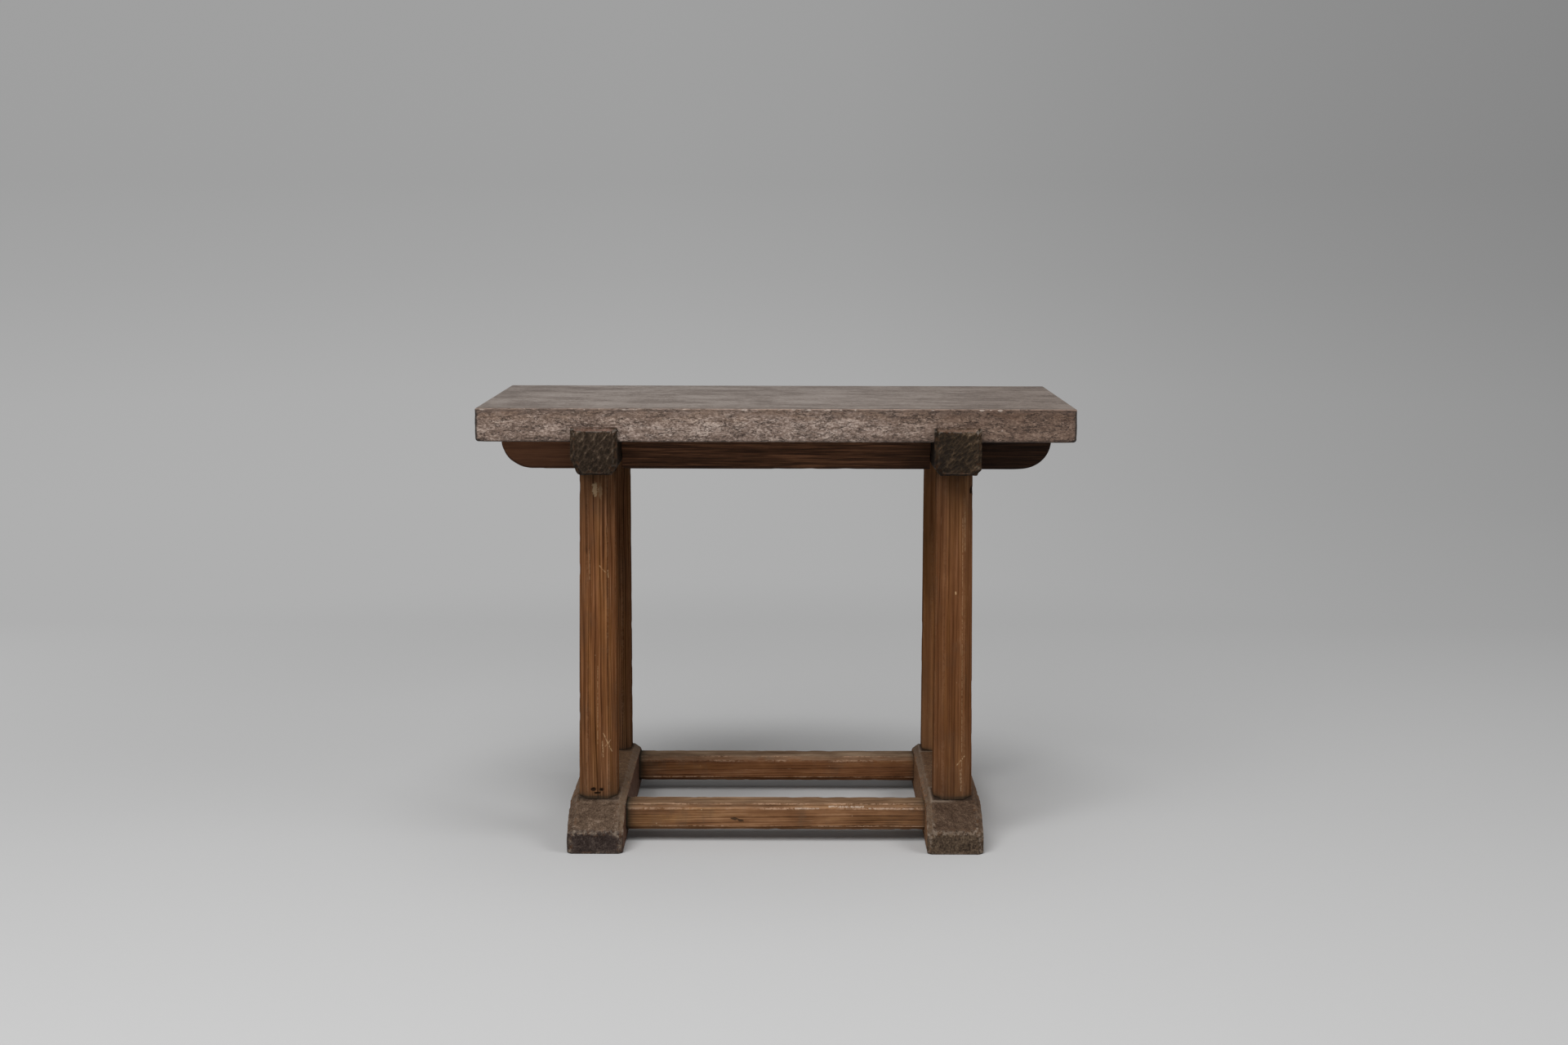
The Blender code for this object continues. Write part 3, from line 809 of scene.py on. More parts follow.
def makeLeg(corner, finish):
    shape = legShape
    node = f"leg_{corner}"
    low, high = boxOf(node)
    side = -1 if low[1] < 0 else 1
    size = high[0] - low[0]
    x, y = (low[:2] + high[:2]) / 2
    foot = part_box("foot_left")[1].z + joint["gap"]
    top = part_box("cross_beam_left")[0].z - joint["gap"]
    small = size * shape["taper"]

    outline, arris = legRing((x, y), size)
    upper, _ = legRing((x, y), small)
    base = foot - footDrop(np.abs(outline[:, 1]))
    half = shape["tenonWidth"] / 2
    reach = size / 2 - shape["footShoulder"]
    footTenon = tenonRing(outline, (x - half, y - reach), (x + half, y + reach))
    reach = shape["topLength"] / 2
    end = y + side * (small / 2 - shape["topShoulder"] - reach)
    topTenon = tenonRing(upper, (x - half, end - reach), (x + half, end + reach))

    lowest = np.linspace(0, shape["baseShare"], shape["baseRows"], endpoint=False)
    shares = np.concatenate([lowest, np.linspace(shape["baseShare"], 1, shape["rows"])])
    shaft = [(atLevel(outline + (upper - outline) * share, base + (top - base) * share), arris)
             for share in shares]
    plain = np.zeros(len(arris))
    footEnd = [(atLevel(footTenon, level), plain) for level in (low[2], foot)]
    topEnd = [(atLevel(topTenon, level), plain) for level in (top, high[2])]
    mesh = skin(node, footEnd + shaft + topEnd, shape["endSteps"])

    points = pointsOf(mesh)
    above = points[:, 2] - foot
    below = top - points[:, 2]
    dent = dents(points, legDents.get(corner, []))
    depth = wear(mesh, points, shape) * easedStep(above, 0, shape["calmEnds"][0])
    carve(mesh, depth * easedStep(below, 0, shape["calmEnds"][1]) + dent * shape["dentDepth"])
    above, below = np.maximum(above, 0), np.maximum(below, 0)
    # painted shade near the foot and under the beam, with some dirt
    contact = sum(fading(above, reach) * share for reach, share in shape["grime_and_shade"])
    contact += sum(fading(below, reach) * share for reach, share in shape["topShade"])
    cloudy = 0.75 + 0.25 * softNoise(points, (0.01, 0.01, 0.01), 24)
    mark(mesh, "grime_and_shade", np.clip(contact, 0, 1) * cloudy)
    mark(mesh, "dull", np.minimum(fading(above, shape["dull"][0]) + fading(below, shape["dull"][1]), 1))
    mark(mesh, "dent", dent)
    leg = addPiece(f"{node}_pine", mesh, finish, "stained_pine", node)

    slots = []
    around = Vector((joint["kerf"], joint["gap"], joint["gap"]))
    for wedge in (f"beam_wedge_{corner}", f"foot_wedge_{corner}"):
        wedgeLow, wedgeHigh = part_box(wedge)
        slots.append((wedgeLow - around, wedgeHigh + around))
    cutJoints(leg, boxesMesh(slots))


legDents = {     # knocks and nail holes
    "front_left": [((-0.3105, -0.196, 0.0930), (0.0042, 0.006, 0.0032)),
                   ((-0.2970, -0.196, 0.0925), (0.0036, 0.006, 0.0026)),
                   ((-0.3040, -0.196, 0.0870), (0.0060, 0.006, 0.0018))],
    "front_right": [((0.3325, -0.185, 0.607), (0.0042, 0.012, 0.0070))],
}


# Carved dark wood of the beams and feet

def carvedFinish(name, look):
    f = Finish(name, look)
    ridge = f.attribute("ridge")
    blotch = f.noise(0.020, 4, 0.65)
    speckle = f.noise(0.0026, 4, 0.7, shift=(3, 2, 9))
    hatch = f.noise(look["hatchSize"], 3, 0.6, turn=look["hatchTurn"], shift=(1, 1, 1))
    patches = f.islands(0.016, 3, 0.6, (7, 7, 2), 0.40, 0.58)
    tone = 0.42 + (blotch - 0.5) * look["cloudy"] + (speckle - 0.5) * look["speckle"]
    tone = tone + (ridge - 0.4) * look["ridge"] + (hatch - 0.5) * (patches * 0.75 + 0.25) * look["hatch"]
    spot = f.vector("SUBTRACT", f.place, look["shadeFrom"])
    tone = tone + f.vector("DOT_PRODUCT", spot, look["shade"], "Value")
    f.colour = f.ramp(tone, look["tones"])
    up = f.step(f.facing("Z"), 0.30, 0.80)
    # upward faces paler: dust, and a painted sheen of the bright room
    f.coat(up * look["dustAndSheenShare"], f.ramp(tone, look["dust"]))
    arris = f.attribute("arris")
    broken = f.noise(0.0060, 4, 0.7, shift=(5, 1, 4))
    # painted light on upward faces between the legs, where the legs and slab shade them
    between = 1 - f.step(f.maths("ABSOLUTE", f.axis("Y")), 0.165, 0.190)
    f.tint(up * between, "seatLightTint")
    # the inner flanks paler than the outer ones: painted light on the shaded inner side
    inward = f.facing("X") * look["inward"]
    f.tint(f.step(inward, 0.6, 0.9), "innerTintWithLight")
    f.tint(f.step(0 - inward, 0.6, 0.9), "outerTint")
    # painted light on the inward top chamfer, with the combed tooling
    slant = f.step(inward, 0.30, 0.50) * (1 - f.step(inward, 0.75, 0.90)) * up
    combed = f.islands((0.0030, 0.050, 0.0030), 3, 0.7, (6, 2, 2), 0.30, 0.70) * 0.6 + 0.4
    f.coat(slant * combed * look["slant"], "slantLitColour")
    end = f.step(f.maths("ABSOLUTE", f.axis("Y")), 0.236, 0.248)
    # paler top arrises and ends: partly wear, partly a painted highlight
    wornAndLit = (f.step(f.axis("Z"), look["wornFrom"] - 0.004, look["wornFrom"]) * 0.8 + 0.2) * (end * 0.65 + 0.35)
    rust = f.step(arris, 0.15, 0.6) * f.islands(0.008, 3, 0.6, (2, 8, 8), 0.50, 0.62)
    f.coat(rust * 0.45, "rust")
    edge = f.step(arris, look["wornWidth"], 0.95) * f.step(broken, 0.45, 0.60)
    f.coat(edge * wornAndLit * look["wear"], "rubbed_and_lit")
    specks = f.spots(0.0115, 0.075, 0.10)
    f.coat(specks * 0.8, "speck")
    chips = f.spots(0.0080, 0.230, 0.16, shift=(9, 4, 2)) * f.step(broken, 0.42, 0.54) * end
    f.coat(chips * look["chips"], "speck")
    # painted contact shade, with some dirt
    f.coat(f.attribute("grime_and_shade") * 0.85, "grime_and_shade")
    f.coat(f.attribute("ring") * 0.8, "rubbed_and_lit")
    f.bump(hatch * look["hatch"] * 1.5 + speckle * 0.5, 0.0006, 0.9)
    return f.dress(0.55 + speckle * 0.2, 0.08)


headLook = {
    "tones": stopsAt((0.011, 0.007, 0.0045), (0.0215, 0.0135, 0.008), (0.038, 0.0250, 0.016),
                  (0.070, 0.048, 0.032), (0.145, 0.106, 0.076)),
    "dust": [(0.15, (0.089, 0.053, 0.036)), (0.50, (0.167, 0.103, 0.074)), (0.85, (0.270, 0.188, 0.148))],
    "dustAndSheenShare": 0.85,
    "cloudy": 0.40,
    "speckle": 1.1,
    "ridge": 0.70,
    "hatch": 1.0,
    "seatLightTint": (1, 1, 1),
    "innerTintWithLight": (1, 1, 1),
    "outerTint": (1, 1, 1),
    "inward": 1,
    "slant": 0.0,
    "chips": 0.15,
    "slantLitColour": (0.165, 0.112, 0.074),
    "shadeFrom": (0, 0, 0),
    "shade": (0, 0, 0),
    "wornFrom": 0.708,
    "wornWidth": 0.45,
    "rubbed_and_lit": (0.190, 0.160, 0.135),
    "wear": 0.65,
    "rust": (0.060, 0.026, 0.011),
    "speck": (0.260, 0.220, 0.180),
    "grime_and_shade": (0.008, 0.006, 0.005),
    "hatchSize": (0.0075, 0.004, 0.0011),
}

headLooks = {
    "left": {
        "hatchTurn": (0, 0.95, 0),
        "shadeFrom": (-0.303, 0, 0.655),
        "shade": (0, 0, 2.0),
        "dust": tinted(headLook["dust"], (1.08, 1.08, 1.18)),
    },
    "right": {
        "hatchTurn": (0, 0.75, 0),
        "shadeFrom": (0.303, 0, 0.684),     # from black at the lower left to brown at the upper right
        "shade": (3.0, 0, 2.2),
        "ridge": 0.55,
        "tones": stopsAt((0.010, 0.0065, 0.0045), (0.020, 0.0132, 0.008), (0.037, 0.0235, 0.0135),
                      (0.070, 0.0455, 0.027), (0.149, 0.1040, 0.069)),
    },
}

beamShape = {
    "lug": 0.015,
    "sideChamfer": 0.007,
    "topChamfer": 0.006,
    "baseChamfer": 0.004,
    "sides": (26, 13, 26, 36, 26, 13),     # cells along the base, a cut, a side, the top, a side and a cut
    "endSteps": 26,
    "row": 0.0046,
    "chamferStops": (0, 0.12, 0.3, 0.55, 0.8, 1),
    "endArris": 0.004,
    "innerArris": 0.003,     # where the end's chamfer meets the side
    "flankReach": 0.09,      # how far the gouge marks run along the sides
    # width and height of the cut lower corners
    "outerCut": {"left": (0.0125, 0.029), "right": (0.0085, 0.0105)},
    "innerCut": {"left": (0.0105, 0.0150), "right": (0.0100, 0.0120)},
    "gougeAngle": {"left": 1.10, "right": 0.75},
    "gougeSize": {"left": (0.0115, 0.008, 0.0052), "right": (0.0095, 0.007, 0.0048)},
    "gougeDepth": 0.0019,
    "lumps": [((0.03, 0.03, 0.03), 33, 1)],
    "lumpDepth": 0.0004,
    "nibble": ((0.007, 0.007, 0.007), 34, 0.0, 0.8),
    "nibbleDepth": 0.0012,
}


def beamRing(side, x, y, low, high, inset):
    sideInset, topInset, baseInset = inset
    outerWidth, outerHeight = beamShape["outerCut"][side]
    innerWidth, innerHeight = beamShape["innerCut"][side]
    outward = -1 if side == "left" else 1
    half = (high[0] - low[0]) / 2 - sideInset
    base = low[2] + baseInset
    top = high[2] - topInset
    right = (outerWidth, outerHeight) if outward > 0 else (innerWidth, innerHeight)
    left = (innerWidth, innerHeight) if outward > 0 else (outerWidth, outerHeight)
    corners = [(left[0] - half, base), (half - right[0], base), (half, base + right[1]), (half, top),
               (-half, top), (-half, base + left[1])]
    soft = [0.010 if cut[1] > 0.02 else 0.003 for cut in (left, right)]
    radii = [soft[0], soft[1], soft[1], 0.0035, 0.0035, soft[0]]
    outline, arris = roundedOutline(corners, radii, beamShape["sides"], 4)
    return ringAtY(outline, x, y), arris


def makeBeam(side, finish):
    shape = beamShape
    node = f"cross_beam_{side}"
    low, high = boxOf(node)
    x = (low[0] + high[0]) / 2
    chamfer = shape["sideChamfer"]
    cutBack = np.array([chamfer, shape["topChamfer"], shape["baseChamfer"]])
    early = [(share * chamfer, 1 - share) for share in shape["chamferStops"]]
    middle = np.linspace(low[1] + chamfer, high[1] - chamfer, round((high[1] - low[1]) / shape["row"]))
    stations = [(low[1] + run, share) for run, share in early] + [(y, 0) for y in middle[1:-1]]
    stations += [(high[1] - run, share) for run, share in early[::-1]]
    body = []
    for y, share in stations:
        ring, arris = beamRing(side, x, y, low, high, cutBack * share)
        end = toNearer(y, low[1], high[1])
        near = max(fading(end, shape["endArris"]), 0.8 * fading(end - chamfer, shape["innerArris"]))
        body.append((ring, np.maximum(arris, near)))
    mesh = skin(node, body, shape["endSteps"])

    points = pointsOf(mesh)
    normals = normalsOf(mesh)
    face = easedStep(np.abs(normals[:, 1]), 0.45, 0.8)
    flank = easedStep(np.abs(normals[:, 0]) + np.maximum(-normals[:, 2], 0), 0.6, 0.9)
    flank *= fading(toNearer(points[:, 1], low[1], high[1]), shape["flankReach"])
    cuts = gougeCuts(points, shape["gougeAngle"][side], shape["gougeSize"][side], 31)
    work = np.clip(face + flank * 0.55, 0, 1)
    lumps = (1 + layered(points, shape["lumps"])) * shape["lumpDepth"]
    carve(mesh, work * ((1 - cuts) * shape["gougeDepth"] + lumps) + nibbled(mesh, points, shape))
    mark(mesh, "ridge", cuts * work)
    # darker along the bottom edge: painted contact shade
    mark(mesh, "grime_and_shade", fading(points[:, 2] - low[2], 0.002) * 0.4)
    mark(mesh, "ring", np.zeros(len(points)))
    beam = addPiece(f"carved_{node}", mesh, finish, "carved_dark_wood", node)

    railLow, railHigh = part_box("top_rail_back")
    wedgeLow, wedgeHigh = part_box("beam_wedge_back_left")
    pegLow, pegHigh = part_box("lap_peg_back_left")
    gap, over = joint["gap"], joint["over"]
    seat = railHigh.z
    lap = (seat + low[2]) / 2
    bay = (high[1] - low[1]) / 2 - beamShape["lug"]
    wide = (high[0] - low[0]) / 2 + over
    above = high[2] + over
    half = legShape["tenonWidth"] / 2 + gap
    reach = legShape["topLength"] / 2 + gap
    laps, pegs = [], []
    for turn in (-1, 1):
        near, far = sorted((turn * (railLow.y - gap), turn * (railHigh.y + gap)))
        tenonY = turn * (wedgeLow.y + wedgeHigh.y) / 2
        laps.append(((x - wide, near, lap), (x + wide, far, above)))
        laps.append(((x - half, tenonY - reach, low[2] - over), (x + half, tenonY + reach, above)))
        pegs.append((x, turn * (pegLow.y + pegHigh.y) / 2))
    holes = holesMesh(pegs, (pegHigh.x - pegLow.x) / 2 + gap, pegLow.z - gap, above)
    cutJoints(beam, boxesMesh([((x - wide, -bay, seat), (x + wide, bay, above))]), boxesMesh(laps), holes)


footLook = {
    **headLook,
    "tones": stopsAt((0.021, 0.0135, 0.011), (0.036, 0.0245, 0.021), (0.053, 0.0380, 0.032),
                  (0.077, 0.057, 0.047), (0.145, 0.110, 0.088)),
    "dust": stopsAt((0.044, 0.027, 0.017), (0.081, 0.052, 0.034), (0.116, 0.077, 0.052),
                    (0.190, 0.135, 0.098), places=(0.12, 0.35, 0.55, 0.80)),
    "dustAndSheenShare": 1.0,
    "cloudy": 0.50,
    "speckle": 1.6,
    "ridge": 0.45,
    "hatch": 1.1,
    "chips": 0.35,
    "seatLightTint": (1.75, 1.60, 1.38),
    "innerTintWithLight": (3.35, 2.55, 1.88),
    "outerTint": (2.05, 1.65, 1.34),
    "slant": 0.85,
    "wornFrom": -1.0,
    "wornWidth": 0.28,
    "rust": (0.095, 0.045, 0.020),
    "rubbed_and_lit": (0.220, 0.170, 0.130),
    "wear": 0.80,
    "hatchSize": (0.0016, 0.012, 0.006),
}

footLooks = {
    "left": {"hatchTurn": (0, 0, 0.9)},
    "right": {
        "hatchTurn": (0, 0, -0.75),
        "inward": -1,
        "chips": 0.9,
        "tones": stopsAt((0.029, 0.019, 0.013), (0.061, 0.041, 0.027), (0.097, 0.066, 0.043),
                      (0.147, 0.104, 0.070), (0.262, 0.194, 0.132)),
        "dust": stopsAt((0.034, 0.0190, 0.0115), (0.061, 0.0370, 0.0235), (0.085, 0.0530, 0.0345),
                     (0.132, 0.088, 0.060), places=(0.12, 0.35, 0.55, 0.80)),
        "speck": (0.420, 0.300, 0.180),
    },
}

footShape = {
    "nose": 0.0375,
    "run": 0.0745,           # nose to the end of the slope
    "power": 1.45,
    "chamferWidth": 0.0105,
    "chamferHeight": 0.008,
    "noseChamfer": 0.005,
    "noseArris": 0.003,
    "chamferStops": (0, 0.1, 0.3, 0.6, 1),
    "radii": (0.004, 0.004, 0.003, 0.003, 0.003, 0.003),
    "sides": (22, 26, 6, 32, 6, 26),
    "endSteps": 13,
    "endFade": 0.005,
    "row": 0.0042,
    "calm": (0.060, 0.085),     # from the nose, where the tooling of the slope gives way to a plainer top
    "toolAngle": {"left": 0.2, "right": 0.6},
    "toolSize": (0.011, 0.0075, 0.0065),
    "toolDepth": 0.0009,
    "lumps": [((0.025, 0.02, 0.02), 43, 1)],
    "lumpDepth": 0.0003,
    "nibble": ((0.006, 0.006, 0.006), 42, -0.1, 0.8),
    "nibbleDepth": 0.0016,
    "halo": (0.0042, 0.0018),     # a pale line round the leg: its distance and its width
    "haloStrength": {"left": 0.2, "right": 0.8},
}


def footDrop(fromMiddle):
    # how far a foot's top lies below its full height, by distance from the middle of the table
    low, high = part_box("foot_left")
    share = np.clip((high.y - np.asarray(fromMiddle)) / footShape["run"], 0, 1)
    return (high.z - footShape["nose"]) * (1 - share) ** footShape["power"]


def footRing(x, y, low, high):
    end = toNearer(y, low[1], high[1])
    half = (high[0] - low[0]) / 2 - max(footShape["noseChamfer"] - end, 0)
    height = high[2] - float(footDrop(abs(y))) - max(footShape["noseArris"] - end, 0)
    drop, width = footShape["chamferHeight"], footShape["chamferWidth"]
    corners = [(-half, 0), (half, 0), (half, height - drop), (half - width, height), (width - half, height),
               (-half, height - drop)]
    outline, arris = roundedOutline(corners, footShape["radii"], footShape["sides"])
    return ringAtY(outline, x, y), np.maximum(arris, fading(end, footShape["endFade"]))


def makeFoot(side, finish):
    shape = footShape
    node = f"foot_{side}"
    low, high = boxOf(node)
    x = (low[0] + high[0]) / 2
    early = shape["noseChamfer"] * np.array(shape["chamferStops"])
    middle = np.linspace(low[1] + early[-1], high[1] - early[-1], round((high[1] - low[1]) / shape["row"]))
    stations = np.concatenate([low[1] + early, middle[1:-1], (high[1] - early)[::-1]])
    mesh = skin(node, [footRing(x, y, low, high) for y in stations], shape["endSteps"], shape["endFade"])

    points = pointsOf(mesh)
    normals = normalsOf(mesh)
    worked = easedStep(np.abs(normals[:, 1]) + np.maximum(normals[:, 2], 0), 0.3, 0.8)
    worked *= 1 - 0.75 * easedStep(toNearer(points[:, 1], low[1], high[1]), *shape["calm"])
    cuts = gougeCuts(points, shape["toolAngle"][side], shape["toolSize"], 41)
    lumps = (1 + layered(points, shape["lumps"])) * shape["lumpDepth"]
    depth = worked * ((1 - cuts) * shape["toolDepth"] + lumps) + nibbled(mesh, points, shape)
    carve(mesh, depth * easedStep(points[:, 2], 0.0005, 0.004))
    mark(mesh, "ridge", cuts * worked)
    legLow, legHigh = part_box("leg_back_left")
    legY = (legLow.y + legHigh.y) / 2
    besideLeg = np.maximum(np.abs(np.abs(points[:, 1]) - legY), np.abs(points[:, 0] - x))
    besideLeg -= (legHigh.y - legLow.y) / 2
    # painted contact shade: a dark line at the floor, and round the legs on faces that look up
    facesUp = normals[:, 2] > 0.3
    contact = fading(np.maximum(besideLeg, 0), 0.0022) * facesUp
    mark(mesh, "grime_and_shade", np.clip(fading(points[:, 2], 0.0016) + contact * 0.7, 0, 1))
    distance, width = shape["halo"]
    halo = np.exp(-((besideLeg - distance) / width) ** 2) * facesUp * shape["haloStrength"][side]
    inside = (points[:, 0] - x) * (1 if side == "left" else -1)
    mark(mesh, "ring", halo * easedStep(inside, -0.01, 0.02))
    foot = addPiece(f"tooled_{node}", mesh, finish, "carved_dark_wood", node)

    gap, over = joint["gap"], joint["over"]
    half = legShape["tenonWidth"] / 2 + gap
    reach = (legHigh.x - legLow.x) / 2 - legShape["footShoulder"] + gap
    stubLow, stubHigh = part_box("stretcher_back")
    shoulder = stretcherShape["stubShoulder"] - gap
    ends = (stubLow.x - gap, high[0] + over) if side == "left" else (low[0] - over, stubHigh.x + gap)
    mortises = []
    for turn in (-1, 1):
        middle = turn * legY
        mortises.append(((x - half, middle - reach, -over), (x + half, middle + reach, high[2] + over)))
        near, far = sorted((turn * (stubLow.y + shoulder), turn * (stubHigh.y - shoulder)))
        mortises.append(((ends[0], near, stubLow.z + shoulder), (ends[1], far, stubHigh.z - shoulder)))
    cutJoints(foot, boxesMesh(mortises))


# Rails

def railFinish():
    f = Finish("dark_pine", railLook)
    fibres = f.noise((0.080, 0.0024, 0.0024), 3, 0.7)
    bands = f.noise((0.24, 0.0060, 0.0050), 3, 0.6)
    tone = 0.48 + (fibres - 0.5) * 1.7 + (bands - 0.5) * 1.1
    f.colour = f.ramp(tone, railLook["tones"])
    across = f.axis("X")
    # painted shade over the right part, where the head and slab keep the light off
    f.coat(f.step(across, 0.10, 0.36) * 0.75, "shadeBlack")
    # painted light on the left end
    f.coat((1 - f.step(across, -0.38, -0.30)) * 0.62, "rubbed_and_lit")
    arris = f.attribute("arris")
    # painted shade along the arrises
    f.coat(f.step(arris, 0.3, 0.9) * 0.55, "shadeBlack")
    broken = f.noise(0.010, 3, 0.6, shift=(2, 2, 6))
    f.coat(f.step(arris, 0.6, 1.0) * f.step(broken, 0.58, 0.68) * 0.25, "rubbed_and_lit")
    f.bump(fibres * -0.6 + bands * 0.3, 0.0003, 0.8)
    return f.dress(0.52 + fibres * 0.2, 0.1)


railLook = {
    "tones": stopsAt((0.030, 0.0125, 0.0062), (0.097, 0.0420, 0.0205), (0.225, 0.1010, 0.0500),
                  places=(0.15, 0.50, 0.85)),
    # painted shade
    "shadeBlack": (0.010, 0.0055, 0.0038),
    "rubbed_and_lit": (0.172, 0.076, 0.040),
}

railShape = {
    "endRun": 0.054,
    "endLip": 0.005,
    "sides": (12, 22, 10, 22),
    "quarterSteps": 30,
    "endSteps": 4,
    "row": 0.006,
    "arris": 0.0022,
    "waves": [((0.12, 0.01, 0.012), 52, 0.8)],
    "waveDepth": 0.00015,
    "nibble": ((0.02, 0.01, 0.01), 51, 0.2, 0.9),
    "nibbleDepth": 0.0007,
}


def makeRail(row, finish):
    shape = railShape
    node = f"top_rail_{row}"
    low, high = boxOf(node)
    run, lip = shape["endRun"], shape["endLip"]
    fromEnd = run * (1 - np.cos(np.linspace(0, math.pi / 2, shape["quarterSteps"])))
    middle = np.linspace(low[0] + run, high[0] - run, round((high[0] - low[0]) / shape["row"]))[1:-1]
    body = []
    for x in np.concatenate([low[0] + fromEnd, middle, (high[0] - fromEnd)[::-1]]):
        share = np.clip(toNearer(x, low[0], high[0]) / run, 0, 1)
        base = high[2] - lip - (high[2] - lip - low[2]) * math.sqrt(1 - (1 - share) ** 2)
        corners = [(low[1], base), (high[1], base), (high[1], high[2]), (low[1], high[2])]
        outline, arris = roundedOutline(corners, [shape["arris"]] * 4, shape["sides"])
        body.append((ringAtX(outline, x), arris))
    mesh = skin(node, body, shape["endSteps"])
    carve(mesh, wear(mesh, pointsOf(mesh), shape))
    rail = addPiece(f"dark_{node}", mesh, finish, "dark_stained_pine", node)

    gap, over = joint["gap"], joint["over"]
    pegLow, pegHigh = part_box(f"lap_peg_{row}_left")
    lap = (low[2] + high[2]) / 2 + gap
    laps, pegs = [], []
    for side in ("left", "right"):
        beamLow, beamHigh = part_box(f"cross_beam_{side}")
        near, far = beamLow.x - gap, beamHigh.x + gap
        laps.append(((near, low[1] - over, low[2] - over), (far, high[1] + over, lap)))
        pegs.append(((beamLow.x + beamHigh.x) / 2, (low[1] + high[1]) / 2))
    holes = holesMesh(pegs, (pegHigh.x - pegLow.x) / 2 + gap, low[2] - over, high[2] + over)
    cutJoints(rail, boxesMesh(laps), holes)


# Stretchers

stretcherLook = {
    **legLook,
    "along": 0,
    "tones": stopsAt((0.057, 0.025, 0.0115), (0.117, 0.054, 0.0252), (0.170, 0.080, 0.0380),
                  (0.224, 0.110, 0.0525), (0.310, 0.169, 0.0890)),
    "rubbed_and_lit": (0.400, 0.252, 0.162),
    "scratch": (0.470, 0.370, 0.290),
    "dent": (0.046, 0.028, 0.017),
    "grey": (0.110, 0.073, 0.048),
    "lean": (0, 0.010, 0.012),
    "ring": 0.0042,
    "contrast": 0.40,
    "cloudy": 1.25,
    "wear": 0.95,
    "patina": 0.30,
    "dustAndSheenShare": 0.75,
    "dust": tinted(legLook["dust"], (0.90, 0.83, 0.74)),
}

stretcherShape = {
    "topChamfer": 0.0073,
    "lowChamfer": 0.0064,
    "arris": 0.0022,
    "sides": (14, 5, 16, 5, 14, 5, 16, 5),
    "row": 0.0042,
    "endSteps": 4,
    "stubShoulder": 0.010,
    "calmEnd": 0.004,
    "waves": [((0.09, 0.012, 0.012), 62, 1)],
    "waveDepth": 0.0002,
    "nibble": ((0.014, 0.008, 0.008), 61, 0.0, 0.8),
    "nibbleDepth": 0.0009,
    "grime_and_shade": [(0.011, 0.85), (0.004, 0.50)],     # reach and share of painted shade and dirt, beside the left foot and the right
    "farGrimeAndShade": (0.070, 0.20),
}


def makeStretcher(row, finish):
    shape = stretcherShape
    node = f"stretcher_{row}"
    low, high = boxOf(node)
    reach = -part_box("foot_left")[1].x - joint["gap"]     # from the middle to a foot
    top, foot, shoulder = shape["topChamfer"], shape["lowChamfer"], shape["stubShoulder"]
    corners = [(low[1] + foot, low[2]), (high[1] - foot, low[2]), (high[1], low[2] + foot),
               (high[1], high[2] - top), (high[1] - top, high[2]), (low[1] + top, high[2]),
               (low[1], high[2] - top), (low[1], low[2] + foot)]
    outline, arris = roundedOutline(corners, [shape["arris"]] * 8, shape["sides"])
    stub = tenonRing(outline, low[1:] + shoulder, high[1:] - shoulder)
    leftStub, rightStub = ([(ringAtX(stub, x), np.zeros(len(arris))) for x in ends]
                           for ends in ((low[0], -reach), (reach, high[0])))
    stations = np.linspace(-reach, reach, round(2 * reach / shape["row"]))
    body = [(ringAtX(outline, x), arris) for x in stations]
    mesh = skin(node, leftStub + body + rightStub, shape["endSteps"])
    points = pointsOf(mesh)
    fromFoot = reach - np.abs(points[:, 0])
    carve(mesh, wear(mesh, points, shape) * easedStep(fromFoot, 0, shape["calmEnd"]))
    # painted shade and dirt beside the feet, strongest at the left
    left, right = (fading(fromFoot, run) * share for run, share in shape["grime_and_shade"])
    run, share = shape["farGrimeAndShade"]
    mark(mesh, "grime_and_shade", np.where(points[:, 0] < 0, left, right) + fading(fromFoot, run) * share)
    mark(mesh, "dull", np.zeros(len(points)))
    mark(mesh, "dent", dents(points, stretcherDents[row]))
    addPiece(f"{node}_pine", mesh, finish, "stained_pine", node)


stretcherDents = {
    "front": [((-0.070, -0.196, 0.0415), (0.0065, 0.030, 0.0024)),
              ((-0.060, -0.196, 0.0385), (0.0050, 0.030, 0.0018))],
    "back": [],
}


# Wedges and pegs

hardwoodLook = {
    "pale": (0.360, 0.235, 0.125),
    "dark": (0.230, 0.135, 0.066),
    "stain": (0.180, 0.110, 0.060),
}


def hardwoodFinish():
    f = Finish("bare_hardwood", hardwoodLook)
    fibres = f.noise((0.0012, 0.0012, 0.016), 3, 0.6)
    tone = f.noise((0.01, 0.01, 0.03), 2, 0.5)
    f.colour = hardwoodLook["pale"]
    f.coat(f.step(fibres, 0.35, 0.7), "dark")
    f.coat(f.step(tone, 0.45, 0.7) * 0.4, "stain")
    f.bump(fibres, 0.0002)
    return f.dress(0.6 + fibres * 0.15)


# Building

stone = stoneFinish()
makeSlab(stone)
print("slab done")

for side, look in headLooks.items():
    makeBeam(side, carvedFinish(f"carved_wood_{side}", {**headLook, **look}))
print("beams done")

railWood = railFinish()
for row in ("front", "back"):
    makeRail(row, railWood)
print("rails done")

